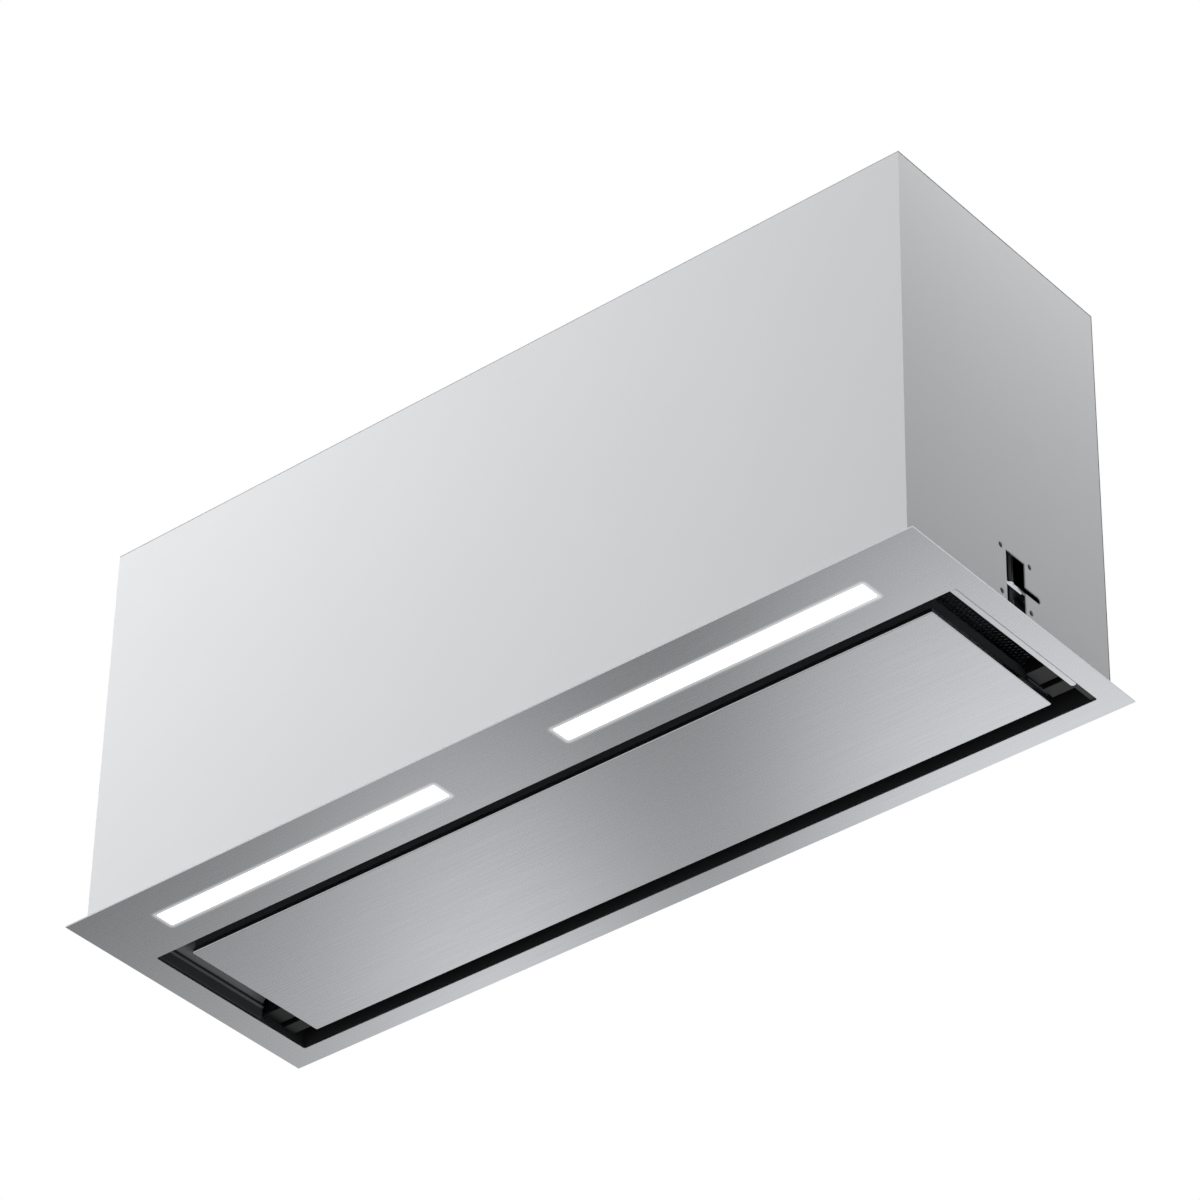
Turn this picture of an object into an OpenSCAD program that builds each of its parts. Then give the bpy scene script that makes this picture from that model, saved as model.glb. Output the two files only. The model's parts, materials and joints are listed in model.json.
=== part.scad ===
// Built-in range hood with a perimeter suction panel, hung inside a wall cabinet.
// Millimetres. Z is up, X runs along the hood and the light strips are in front, at -Y.
// The origin is the middle of the flange's underside.

/* [Flange] */
// Length of the visible flange
flange_w = 860; // [820:10:1200]
// Depth of the visible flange, front to back
flange_d = 280; // [276:1:320]
// Thickness of the flange sheet
flange_t = 1.5; // [1.2:0.1:1.8]
// Flange overhang past the casing at each end
overhang_end = 13; // [10:1:14]
// Flange overhang past the casing in front
overhang_front = 11; // [8:1:16]
// Flange overhang past the casing behind
overhang_back = 13; // [9:1:13]

/* [Casing] */
// Height of the casing above the flange
casing_h = 376; // [370:1:460]
// Thickness of the casing sheet
casing_t = 1; // [0.8:0.1:1.2]
// Width of the casing's folded edges
fold_w = 12; // [11:1:14]

/* [Suction opening] */
// Flange margin at each end of the opening
opening_end = 26; // [25:0.5:27]
// Flange margin in front of the opening
opening_front = 79.5; // [76:0.5:90]
// Flange margin behind the opening
opening_back = 21; // [20:1:26]
// Corner radius of the opening
opening_r = 2; // [1:0.5:4]
// Height of the black recess above the flange
recess_h = 44.5; // [43:0.5:60]
// Thickness of the recess sheet
recess_t = 1; // [0.8:0.1:1.2]
// Width of the ledge that the filters meet
ledge_w = 9; // [7:1:12]

/* [Perimeter panel] */
// Suction gap at each end of the panel
panel_gap_end = 26.5; // [26:0.5:32]
// Suction gap in front of and behind the panel
panel_gap_side = 14; // [12:1:18]
// Thickness of the panel sheet
panel_t = 1.2; // [0.8:0.1:1.5]
// Height of the panel above the flange's underside
panel_recess = 1.5; // [0.5:0.5:3]
// Height of the backing tray
backing_h = 15; // [14:1:16]
// Diameter of the panel's hinge pins
hinge_pin_d = 5; // [4:0.5:6]

/* [Light strips] */
// Distance of each strip's outer end from the flange's end
led_end = 71; // [62:1:150]
// Width of each light strip
led_w = 18; // [14:1:20]
// Distance of each strip from the middle of the hood
led_inner = 61; // [40:1:70]
// Distance of the strips from the flange's front edge
led_front = 33; // [28:1:36]

/* [Grease filters] */
// Thickness of a filter
filter_t = 9.5; // [8:0.5:10]
// Width of a filter's frame profile
filter_rim = 10; // [8:1:14]
// Pitch of the pleated filter core
pleat_pitch = 9; // [7:0.5:14]

/* [Blower] */
// Outer radius of the fan wheel
wheel_r = 70; // [64:1:70]
// Length of the fan wheel
wheel_len = 144; // [136:1:146]
// Blades in each row of the fan wheel
blade_count = 36; // [24:1:44]
// Play between each end of the fan wheel and the housing's side plate
wheel_play = 3; // [3:0.5:7]
// Radius of the scroll where it starts, at its tongue
scroll_r0 = 78; // [76:1:80]
// Radius of the scroll where it ends, at its outlet
scroll_r1 = 118; // [114:1:122]
// Wall of the blower housing
scroll_t = 2; // [1.5:0.5:2.5]
// Radius of the motor
motor_r = 42; // [38:1:46]
// Diameter of the motor shaft
shaft_d = 8; // [6:0.5:10]

/* [Air outlet] */
// Outer diameter of the outlet collar
duct_d = 150; // [147:1:152]
// Height of the collar above the casing
collar_h = 32; // [26:1:45]
// Wall of the outlet collar
collar_t = 2; // [1.5:0.5:2.5]
// Diameter of the damper's pin
damper_pin_d = 3; // [2.5:0.5:4]

/* [Side clamps] */
// Place of the clamp window behind the middle of the hood
clamp_y = 7; // [0:1:12]
// Width of the clamp window
window_w = 24; // [20:1:26]
// Height of the clamp window's lower edge
window_low = 6; // [5:1:8]
// Height of the clamp window's upper edge
window_high = 66; // [62:1:68]
// Length of the slot beside the window
slot_len = 19; // [17:1:22]
// Height of the slot beside the window
slot_h = 6; // [5.5:0.5:7]
// Height of the slot's middle
slot_z = 41; // [40:1:44]
// Height of the fixing holes' middle
fix_z = 45; // [44:0.5:46]
// Spacing of the fixing holes, front to back
fix_dy = 37; // [35:1:38]
// Spacing of the fixing holes, up
fix_dz = 43; // [40:1:44]
// Diameter of the fixing holes
fix_d = 5; // [4:0.5:5.5]
// Diameter of the clamp screw
clamp_screw_d = 4; // [3.5:0.5:4]

/* [Electrics] */
// Length of the control box
box_w = 150; // [140:1:170]
// Depth of the control box
box_d = 104; // [96:1:110]
// Height of the control box
box_h = 58; // [50:1:66]
// Bore of the cable gland
gland_bore_d = 9; // [7:0.5:10]

/* [Hidden] */
$fn = 48;

// One overrun for every cut, and the clearances that pieces share
over = 1;
seat_gap = 0.3;
run_gap = 0.05;
fit_gap = 0.02;
sheet_gap = 0.2;

// The casing's outer and inner faces
case_x = flange_w / 2 - overhang_end;
case_y0 = -flange_d / 2 + overhang_front;
case_y1 = flange_d / 2 - overhang_back;
case_z1 = flange_t + casing_h;
in_x = case_x - casing_t;
in_y0 = case_y0 + casing_t;
in_y1 = case_y1 - casing_t;
in_z1 = case_z1 - casing_t;
mid_y = (case_y0 + case_y1) / 2;
fold_from_flange = 5;

// The opening's edges and the recess over it
open_x = flange_w / 2 - opening_end;
open_y0 = -flange_d / 2 + opening_front;
open_y1 = flange_d / 2 - opening_back;
recess_z1 = flange_t + recess_h;
foot_w = 6;
bead_r = 0.8;
bead_low = 16;
bead_step = 3;
hook_w = 20;
hook_d = 5;
hook_t = 1;
hook_share = 0.3;

// The trim strip let into the flange at the right end of the opening
trim_w = 5;
trim_inset = 0.3;
trim_short = 25;

// The strip between the filters, whose ends turn down the recess walls
divider_w = 28;
divider_end_w = 18;
divider_drop = 31;

// The panel, its tray and its hinge
panel_x = open_x - panel_gap_end;
panel_y0 = open_y0 + panel_gap_side;
panel_y1 = open_y1 - panel_gap_side;
panel_hem = 3;
panel_corner_r = 1.5;
backing_inset = panel_t + seat_gap;
backing_t = 1;
backing_x = panel_x - backing_inset;
backing_z0 = panel_recess + panel_t;
backing_z1 = backing_z0 + backing_h;
hinge_from_edge = 9;
hinge_y = panel_y1 - hinge_from_edge;
hinge_z = 14;
arm_t = 3;
arm_len = 22;
arm_h = 13;
hinge_side_gap = 1;
bracket_x0 = backing_x + arm_t + hinge_side_gap;
bracket_foot_t = 2;
bracket_foot_front = 30;
bracket_foot_back = 10;
bracket_foot_low = 8;
bracket_foot_high = 16;
knuckle_back = 7;
knuckle_front = 6;
knuckle_low = 8;
knuckle_high = 8;
stop_slot = 4;
stop_block = 18;
stop_lift = 2;

// The magnets that hold the panel shut
magnet_x = 250;
magnet_w = 34;
magnet_d = 12;
magnet_h = 7;
magnet_arm_t = 2;
magnet_from_edge = 2;
strike_t = 1;

// The grease filters
filter_side_gap = 1.5;
filter_lap = 4;
filter_x0 = divider_w / 2 - filter_lap;
filter_x1 = open_x - filter_side_gap;
filter_y0 = open_y0 + filter_side_gap;
filter_y1 = open_y1 - filter_side_gap;
filter_z1 = recess_z1 - seat_gap;
filter_z0 = filter_z1 - filter_t;
filter_mid_x = (filter_x0 + filter_x1) / 2;
filter_lip_t = 1;
core_t = 1;

// The filters' latches
latch_w = 44;
latch_d = 20;
latch_t = 2.5;
latch_tongue_w = 16;
latch_reach = 3;
latch_lip_w = 32;
latch_lip_d = 3;
latch_lip_h = 5;
latch_travel = 6;
latch_from_edge = 2;
latch_y0 = filter_y0 + latch_from_edge;
latch_z1 = filter_z0 - seat_gap;
latch_z0 = latch_z1 - latch_t;
rail_x = latch_w / 2 + seat_gap;
rail_t = 1.2;
rail_under = 2;
keeper_gap = 0.4;

// The light strips
led_x1 = flange_w / 2 - led_end;
led_len = led_x1 - led_inner;
led_y0 = -flange_d / 2 + led_front;
led_y1 = led_y0 + led_w;
led_lens_t = 3;
led_board_t = 1.6;
led_wall = 2;
led_depth = 12;
led_z1 = led_lens_t + led_depth;
led_fins = 5;
led_fin_h = 4;
led_fin_t = 1.2;
diode_count = 12;
diode_w = 4;
diode_t = 1;

// The blower's parts round its axis
tongue_a = 80;
tongue_turn = 2;
scroll_steps = 40;
seam_w = 6;
seam_t = 2;
socket_h = 8;
socket_t = 2;
strap_t = 2;
adapter_rise = 36.5;
throat_rise = 142;

// The radii take the share that the room between the casing's folds and over the recess leaves them
blower_play = 1.7;
blower_front = scroll_r0 + (scroll_r1 - scroll_r0) * (180 - tongue_a) / (360 - tongue_a);
blower_low = scroll_r0 + (scroll_r1 - scroll_r0) * (270 - tongue_a) / (360 - tongue_a);
blower_skin = scroll_t + seam_w;
room_d = in_y1 - in_y0 - 2 * fold_w - 2 * blower_skin - strap_t - blower_play;
room_h = in_z1 - recess_z1 - recess_t - socket_h - blower_skin - blower_play;
share_d = room_d / (scroll_r1 + blower_front);
share_h = room_h / (adapter_rise + throat_rise + blower_low);
blower_share = min(share_d, share_h);
fan_r = wheel_r * blower_share;
spiral_r0 = scroll_r0 * blower_share;
spiral_r1 = scroll_r1 * blower_share;
drum_r = motor_r * blower_share;

// The scroll hangs from the top
throat_z = throat_rise * blower_share;
axis_y = mid_y - (spiral_r1 - scroll_at(180) - strap_t - sheet_gap) / 2;
axis_z = in_z1 - socket_h - adapter_rise * blower_share - throat_z;
scroll_x = wheel_len / 2 + wheel_play;
inlet_bore = 60;
inlet_r = inlet_bore * blower_share;
bell_r = 6;
bell_t = 2;

// The fan wheel
blade_depth = 13;
blade_r0 = fan_r - blade_depth;
blade_t = 1.2;
blade_sweep = 11;
blade_steps = 4;
wheel_ring_w = 6;
wheel_ring_t = 2;
wheel_disc_t = 2;
wheel_hub_r = 12;
wheel_hub_len = 40;

// The motor, its shaft and what carries them
shaft_r = shaft_d / 2;
shaft_past = 5;
grommet_len = 9;
motor_x0 = 26;
motor_x1 = scroll_x + scroll_t + grommet_len;
motor_len = motor_x1 - motor_x0;
motor_boss_r = 11;
motor_boss_len = 4;
motor_edge = 5;
motor_ribs = 4;
motor_rib_h = 1.5;
motor_rib_w = 4;
motor_rib_from = 22;
mount_circle = 75;
mount_r = mount_circle * blower_share;
mount_angles = [30, 150, 270];
grommet_r = 6;
grommet_bore_r = 2.6;
mount_screw_r = 2.5;
mount_nut_r = 4.4;
mount_nut_h = 2.5;
mount_head_h = 3;
spider_t = 2.5;
spider_arm_w = 14;
spider_r = 24;
strap_w = 30;
strap_foot = 22;
strap_low = 60;

// The air outlet and its damper
duct_r = duct_d / 2;
collar_flange_w = 11;
collar_flange_t = 2;
collar_down = 6;
collar_y = in_y1 - fold_w - duct_r - socket_t - 2 * seat_gap;
adapter_lip = 2;
damper_up = 13;
damper_z = case_z1 + damper_up;
flap_t = 1.2;
flap_gap = 0.8;
flap_knuckle_r = 3.2;
flap_clear = 0.6;
knuckle_len = 16;
stop_w = 8;
stop_d = 3;
stop_t = 1;
stop_angles = [35, 145, 215, 325];

// The control box and what it holds
box_from_end = 14;
box_shift = 12;
box_x0 = -in_x + box_from_end;
box_x1 = box_x0 + box_w;
box_y0 = mid_y - box_d / 2 + box_shift;
box_y1 = box_y0 + box_d;
box_z0 = in_z1 - box_h;
box_t = 1.2;
lid_lip = 5;
board_t = 1.6;
board_drop = 26;
board_edge = 8;
post_r = 3;
relay_count = 3;
relay_w = 18;
relay_d = 14;
relay_h = 14;
coil_w = 34;
coil_d = 30;
coil_h = 20;
cap_r = 16;
cap_len = 62;
cap_drop = 2;
cap_z = in_z1 - cap_r - cap_drop;
cap_stud_r = 4;
cap_stud_len = 8;
gland_from_end = 30;
gland_from_back = 26;
gland_x = box_x0 + gland_from_end;
gland_y = box_y1 - gland_from_back;
gland_body_r = 8;
gland_hex_r = 11;
gland_hex_h = 6;
gland_nut_h = 5;
gland_cap_r = 8.5;
gland_cap_h = 8;
gland_below = 9;
term_from_gland = 6;
term_w = 42;
term_d = 14;
term_h = 12;
term_ways = 5;
term_hole_r = 1.6;
driver_from_end = 56;
driver_w = 120;
driver_d = 42;
driver_h = 26;
driver_x1 = in_x - driver_from_end;
driver_x0 = driver_x1 - driver_w;
driver_foot = 8;
driver_foot_t = 2;

// The side clamps: from the wall inwards a plate, the arm on its screw and a ribbed guide
window_y0 = clamp_y - window_w / 2;
window_y1 = clamp_y + window_w / 2;
clamp_z0 = flange_t + recess_t + seat_gap;
clamp_high = 12;
clamp_z1 = window_high + clamp_high;
clamp_plate_t = 1.2;
clamp_plate_edge = 7;
clamp_window_play = 2;
clamp_lug_t = 1.5;
guide_x0 = open_x + recess_t + seat_gap;
guide_t = 1;
guide_w = 22;
guide_rib_h = 0.6;
guide_rib_w = 1;
guide_ribs = 6;
clamp_x = (open_x + recess_t + in_x) / 2;
clamp_play = 0.4;
clamp_hub_r = clamp_x - guide_x0 - guide_t - clamp_play;
clamp_boss_r = (clamp_hub_r + clamp_screw_d / 2) / 2;
clamp_nut_w = 20;
clamp_nut_back = clamp_hub_r - guide_rib_h;
clamp_nut_h = 3;
clamp_arm_w = 6;
clamp_arm_t = 3;
clamp_arm_len = 27;
clamp_tooth = 1.2;
clamp_tooth_len = 3;
clamp_arm_z0 = slot_z - (clamp_arm_t - clamp_tooth) / 2;
clamp_head_h = 3;
clamp_head_r = 4;

// The screws through the casing's folded edges
screw_r = 1.6;
screw_head_r = 3.4;
screw_head_h = 1.8;
screw_len = 5;
screw_x_shares = [0.08, 0.34, 0.66, 0.92];
screw_z_shares = [0.08, 0.36, 0.64, 0.92];

// A box between two corners
module block(low, high) {
  translate(low) cube(high - low);
}

// The same piece at the right end, or mirrored to the left end
module at_side(side) {
  if (side > 0) children();
  else mirror([1, 0, 0]) children();
}

// A rod along X
module rod_x(x0, x1, r) {
  translate([x0, 0, 0]) rotate([0, 90, 0]) cylinder(h = x1 - x0, r = r);
}

// A plate with rounded corners, from its outline's two corners
module rounded_plate(low, high, r, t) {
  linear_extrude(t) {
    translate([low[0] + r, low[1]]) square([high[0] - low[0] - 2 * r, high[1] - low[1]]);
    translate([low[0], low[1] + r]) square([high[0] - low[0], high[1] - low[1] - 2 * r]);
    for (x = [low[0] + r, high[0] - r], y = [low[1] + r, high[1] - r])
      translate([x, y]) circle(r);
  }
}

// Radius of the scroll at an angle counted from +Y through +Z
function scroll_at(a) = spiral_r0 + (spiral_r1 - spiral_r0) * (a - tongue_a) / (360 - tongue_a);

// The scroll's outline with its throat, in Y and Z from the wheel's axis, grown by a wall
function scroll_outline(grow) =
  let (start = tongue_a + (grow > 0 ? tongue_turn : 0))
  concat(
    [[spiral_r0 * cos(tongue_a) - grow, throat_z]],
    [for (i = [0:scroll_steps])
      let (a = start + (360 - start) * i / scroll_steps, r = scroll_at(a) + grow)
      [i == 0 ? spiral_r0 * cos(tongue_a) - grow : r * cos(a), r * sin(a)]],
    [[spiral_r1 + grow, throat_z]]
  );

// Lays a Y-Z outline across X, from x0 over a length
module across_x(x0, len) {
  translate([x0, axis_y, axis_z]) rotate([90, 0, 90]) linear_extrude(len) children();
}

// The flange: one steel sheet with the suction opening, two light slots and the trim's notch
module flange_frame() {
  color([0.66, 0.67, 0.68])
    difference() {
      block([-flange_w / 2, -flange_d / 2, 0], [flange_w / 2, flange_d / 2, flange_t]);
      translate([0, 0, -over])
        rounded_plate([-open_x, open_y0], [open_x + trim_w + sheet_gap, open_y1],
                      opening_r, flange_t + 2 * over);
      for (side = [-1, 1])
        at_side(side)
          block([led_inner - sheet_gap, led_y0 - sheet_gap, -over],
                [led_x1 + sheet_gap, led_y1 + sheet_gap, flange_t + over]);
    }
}

// The slim strip that lines the opening's right end, round at its rear end
module end_trim() {
  y0 = open_y0 + sheet_gap;
  y1 = open_y1 - trim_short;
  t = flange_t - trim_inset;
  color([0.78, 0.79, 0.8])
    translate([0, 0, trim_inset]) {
      difference() {
        block([open_x, y0, 0], [open_x + trim_w, y1 - trim_w / 2, t]);
        translate([open_x + trim_w, y0, -over])
          rotate(45) cube([opening_r, opening_r, 2 * (t + over)], center = true);
      }
      translate([open_x + trim_w / 2, y1 - trim_w / 2, 0]) cylinder(h = t, r = trim_w / 2);
    }
}

// Places of the screws on the back sheet's side edges, and on the top's long edges
module screw_places() {
  for (side = [-1, 1], s = screw_z_shares)
    translate([side * (case_x - fold_w / 2), case_y1, flange_t + s * casing_h])
      rotate([90, 0, 0]) children();
  for (s = screw_x_shares, y = [case_y0 + fold_w / 2, case_y1 - fold_w / 2])
    translate([(2 * s - 1) * case_x, y, case_z1]) rotate([180, 0, 0]) children();
}

module screw_holes() {
  screw_places()
    translate([0, 0, -over]) cylinder(h = screw_len + 2 * over, r = screw_r + run_gap, $fn = 24);
}

// The clamp's window and the slot beside it, from an inner face out through the wall
module clamp_cuts(x0, play) {
  slot_end = window_y1 + slot_len - slot_h / 2;
  block([x0, window_y0 - play, window_low], [case_x + over, window_y1 + play, window_high + play]);
  block([x0, clamp_y, slot_z - slot_h / 2 - play], [case_x + over, slot_end, slot_z + slot_h / 2 + play]);
  translate([0, slot_end, slot_z]) rod_x(x0, case_x + over, slot_h / 2 + play);
}

// The four fixing holes round the window
module fixing_holes() {
  for (y = [-1, 1], z = [-1, 1])
    translate([0, clamp_y + y * fix_dy / 2, fix_z + z * fix_dz / 2])
      rod_x(in_x - clamp_plate_t - over, case_x + over, fix_d / 2);
}

// Front and both ends of the casing, one folded sheet with edges for the back and the top
module casing_shell() {
  color([0.82, 0.83, 0.84])
    difference() {
      union() {
        difference() {
          block([-case_x, case_y0, flange_t], [case_x, in_y1, in_z1]);
          block([-in_x, in_y0, 0], [in_x, case_y1, case_z1]);
        }
        block([-in_x, case_y0, in_z1 - casing_t], [in_x, in_y0 + fold_w, in_z1]);
        block([-in_x, case_y0, flange_t], [in_x, in_y0 + fold_w, flange_t + casing_t]);
        for (side = [-1, 1])
          at_side(side)
            block([in_x - fold_w, in_y1 - casing_t, flange_t + fold_from_flange],
                  [case_x, in_y1, in_z1 - casing_t]);
      }
      for (side = [-1, 1])
        at_side(side) {
          clamp_cuts(in_x - over, 0);
          fixing_holes();
        }
      screw_holes();
    }
}

// The back sheet, with an edge folded under the top
module casing_back() {
  color([0.78, 0.79, 0.8])
    difference() {
      union() {
        block([-case_x, in_y1, flange_t], [case_x, case_y1, in_z1]);
        block([-in_x, in_y1 - fold_w, in_z1 - casing_t], [in_x, case_y1, in_z1]);
      }
      screw_holes();
    }
}

// The top sheet, with the air outlet and the gland's hole
module casing_top() {
  color([0.78, 0.79, 0.8])
    difference() {
      block([-case_x, case_y0, in_z1], [case_x, case_y1, case_z1]);
      translate([0, collar_y, in_z1 - over])
        cylinder(h = casing_t + 2 * over, r = duct_r + seat_gap, $fn = 96);
      translate([gland_x, gland_y, in_z1 - over])
        cylinder(h = casing_t + 2 * over, r = gland_body_r + sheet_gap);
      screw_holes();
    }
}

// The black recess: four walls on the flange, a foot, the filters' ledge and their rear hooks
module recess_frame() {
  hook_z1 = filter_z0 - seat_gap;
  color([0.09, 0.09, 0.1])
    difference() {
      union() {
        block([-open_x - recess_t, open_y0 - recess_t, flange_t],
              [open_x + recess_t, open_y1 + recess_t, recess_z1 + recess_t]);
        block([-open_x - foot_w, open_y0 - foot_w, flange_t],
              [open_x + foot_w, open_y1 + foot_w, flange_t + recess_t]);
      }
      difference() {
        union() {
          block([-open_x, open_y0, 0], [open_x, open_y1, recess_z1]);
          block([-open_x + ledge_w, open_y0 + ledge_w, recess_z1 - over],
                [open_x - ledge_w, open_y1 - ledge_w, recess_z1 + recess_t + over]);
        }
        for (side = [-1, 1])
          at_side(side) {
            for (z = [bead_low, bead_low + bead_step])
              translate([open_x, open_y0, flange_t + z])
                rotate([-90, 0, 0])
                  cylinder(h = hinge_y - bracket_foot_front - seat_gap - open_y0, r = bead_r, $fn = 24);
            for (s = [hook_share, 1 - hook_share])
              translate([filter_x0 + s * (filter_x1 - filter_x0), open_y1, hook_z1])
                block([-hook_w / 2, -hook_d, -hook_t], [hook_w / 2, 0, 0]);
          }
      }
      for (side = [-1, 1])
        at_side(side)
          block([filter_mid_x - latch_tongue_w / 2 - keeper_gap, open_y0 - recess_t - over,
                 latch_z0 - keeper_gap],
                [filter_mid_x + latch_tongue_w / 2 + keeper_gap, open_y0 + over, latch_z1 + keeper_gap]);
    }
}

// The strip between the filters, folded down the front and back walls of the recess
module filter_divider() {
  color([0.09, 0.09, 0.1]) {
    block([-divider_w / 2, open_y0 + ledge_w + sheet_gap, recess_z1],
          [divider_w / 2, open_y1 - ledge_w - sheet_gap, recess_z1 + recess_t]);
    block([-divider_end_w / 2, open_y0, recess_z1 - recess_t],
          [divider_end_w / 2, open_y1, recess_z1]);
    for (y = [open_y0, open_y1 - recess_t])
      block([-divider_end_w / 2, y, recess_z1 - divider_drop],
            [divider_end_w / 2, y + recess_t, recess_z1]);
  }
}

// The brushed panel that closes the opening, with its edges turned up
module suction_panel() {
  color([0.7, 0.71, 0.72])
    translate([0, 0, panel_recess])
      difference() {
        rounded_plate([-panel_x, panel_y0], [panel_x, panel_y1], panel_corner_r, panel_t + panel_hem);
        block([-panel_x + panel_t, panel_y0 + panel_t, panel_t],
              [panel_x - panel_t, panel_y1 - panel_t, panel_t + panel_hem + over]);
      }
}

// The black tray on the panel's back
module panel_backing() {
  y0 = panel_y0 + backing_inset;
  y1 = panel_y1 - backing_inset;
  color([0.16, 0.16, 0.17])
    difference() {
      block([-backing_x, y0, backing_z0], [backing_x, y1, backing_z1]);
      block([-backing_x + backing_t, y0 + backing_t, backing_z0 - over],
            [backing_x - backing_t, y1 - backing_t, backing_z1 - backing_t]);
    }
}

// The two ears that hang the panel on its pins
module panel_hinge_arms() {
  color([0.2, 0.2, 0.21])
    for (side = [-1, 1])
      at_side(side)
        difference() {
          union() {
            block([backing_x, hinge_y - arm_len, hinge_z - arm_h / 2],
                  [backing_x + arm_t, hinge_y, backing_z1]);
            translate([0, hinge_y, hinge_z]) rod_x(backing_x, backing_x + arm_t, arm_h / 2);
          }
          translate([0, hinge_y, hinge_z])
            rod_x(backing_x - over, backing_x + arm_t + over, hinge_pin_d / 2 + run_gap);
        }
}

// A hinge bracket on the recess's end wall: a foot, a stop block and the pin's knuckle
module hinge_bracket(side) {
  stop_y1 = hinge_y - knuckle_front - stop_slot;
  color([0.15, 0.15, 0.16])
    at_side(side)
      difference() {
        union() {
          block([open_x - bracket_foot_t, hinge_y - bracket_foot_front, hinge_z - bracket_foot_low],
                [open_x, hinge_y + bracket_foot_back, hinge_z + bracket_foot_high]);
          block([bracket_x0, hinge_y - knuckle_front, hinge_z - knuckle_low],
                [open_x, hinge_y + knuckle_back, hinge_z + knuckle_high]);
          block([bracket_x0, stop_y1 - stop_block, hinge_z - knuckle_low + stop_lift],
                [open_x, stop_y1, hinge_z + knuckle_high]);
        }
        translate([0, hinge_y, hinge_z])
          rod_x(bracket_x0 - over, open_x - bracket_foot_t, hinge_pin_d / 2 + fit_gap);
      }
}

module hinge_bracket_left() hinge_bracket(-1);
module hinge_bracket_right() hinge_bracket(1);

// Both hinge pins
module hinge_pins() {
  color([0.75, 0.76, 0.78])
    for (side = [-1, 1])
      at_side(side)
        translate([0, hinge_y, hinge_z])
          rod_x(backing_x + sheet_gap, open_x - bracket_foot_t, hinge_pin_d / 2);
}

// Magnets on the front wall of the recess
module panel_magnets() {
  z0 = backing_z1 + strike_t + seat_gap;
  y0 = panel_y0 + magnet_from_edge;
  color([0.12, 0.12, 0.13])
    for (side = [-1, 1])
      at_side(side) {
        block([magnet_x - magnet_w / 2, y0, z0], [magnet_x + magnet_w / 2, y0 + magnet_d, z0 + magnet_h]);
        block([magnet_x - magnet_w / 2, open_y0, z0 + magnet_h - magnet_arm_t],
              [magnet_x + magnet_w / 2, y0 + magnet_arm_t, z0 + magnet_h]);
      }
}

// Steel strikes on the panel's tray
module magnet_strikes() {
  y0 = panel_y0 + magnet_from_edge;
  color([0.6, 0.61, 0.63])
    for (side = [-1, 1])
      at_side(side)
        block([magnet_x - magnet_w / 2, y0, backing_z1],
              [magnet_x + magnet_w / 2, y0 + magnet_d, backing_z1 + strike_t]);
}

// A grease filter's frame, with the rails that carry its latch
module filter_frame(side) {
  rail_z0 = latch_z0 - seat_gap - rail_t;
  color([0.74, 0.75, 0.76])
    at_side(side) {
      difference() {
        block([filter_x0, filter_y0, filter_z0], [filter_x1, filter_y1, filter_z1]);
        block([filter_x0 + filter_rim, filter_y0 + filter_rim, filter_z0 - over],
              [filter_x1 - filter_rim, filter_y1 - filter_rim, filter_z1 + over]);
        block([filter_x0 + filter_lip_t, filter_y0 + filter_lip_t, filter_z0 + filter_lip_t],
              [filter_x1 - filter_lip_t, filter_y1 - filter_lip_t, filter_z1 - filter_lip_t]);
      }
      translate([filter_mid_x, latch_y0, 0]) {
        block([-rail_x - rail_t, 0, filter_z0],
              [rail_x + rail_t, latch_d + latch_travel, filter_z0 + filter_lip_t]);
        for (end = [-1, 1])
          at_side(end) {
            block([rail_x, 0, rail_z0], [rail_x + rail_t, latch_d, filter_z0 + filter_lip_t]);
            block([rail_x - rail_under, 0, rail_z0], [rail_x + rail_t, latch_d, rail_z0 + rail_t]);
          }
      }
    }
}

module filter_frame_left() filter_frame(-1);
module filter_frame_right() filter_frame(1);

// The pleated aluminium core inside a filter's frame
module filter_core(side) {
  x0 = filter_x0 + filter_lip_t + seat_gap;
  x1 = filter_x1 - filter_lip_t - seat_gap;
  low = filter_z0 + filter_lip_t + seat_gap;
  rise = filter_t - 2 * filter_lip_t - 2 * seat_gap - core_t;
  pleats = floor((x1 - x0) / pleat_pitch);
  pitch = (x1 - x0) / pleats;
  line = [for (i = [0:2 * pleats]) [x0 + i * pitch / 2, low + (i % 2) * rise]];
  color([0.62, 0.63, 0.64])
    at_side(side)
      translate([0, filter_y1 - filter_lip_t - seat_gap, 0])
        rotate([90, 0, 0])
          linear_extrude(filter_y1 - filter_y0 - 2 * filter_lip_t - 2 * seat_gap)
            polygon(concat(line, [for (i = [2 * pleats:-1:0]) line[i] + [0, core_t]]));
}

module filter_core_left() filter_core(-1);
module filter_core_right() filter_core(1);

// A filter's sliding latch, with its tongue in the recess's keeper slot and a finger lip
module filter_latch(side) {
  tip_y = open_y0 - recess_t - latch_reach;
  color([0.13, 0.13, 0.14])
    at_side(side)
      translate([filter_mid_x, 0, 0])
        difference() {
          union() {
            block([-latch_w / 2, latch_y0, latch_z0], [latch_w / 2, latch_y0 + latch_d, latch_z1]);
            block([-latch_tongue_w / 2, tip_y, latch_z0], [latch_tongue_w / 2, latch_y0 + latch_t, latch_z1]);
            block([-latch_lip_w / 2, latch_y0 + latch_d - latch_lip_d, latch_z0 - latch_lip_h],
                  [latch_lip_w / 2, latch_y0 + latch_d, latch_z1]);
          }
          translate([0, tip_y, latch_z0])
            rotate([45, 0, 0]) cube([latch_w, latch_t, latch_t], center = true);
        }
}

module filter_latch_left() filter_latch(-1);
module filter_latch_right() filter_latch(1);

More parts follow.
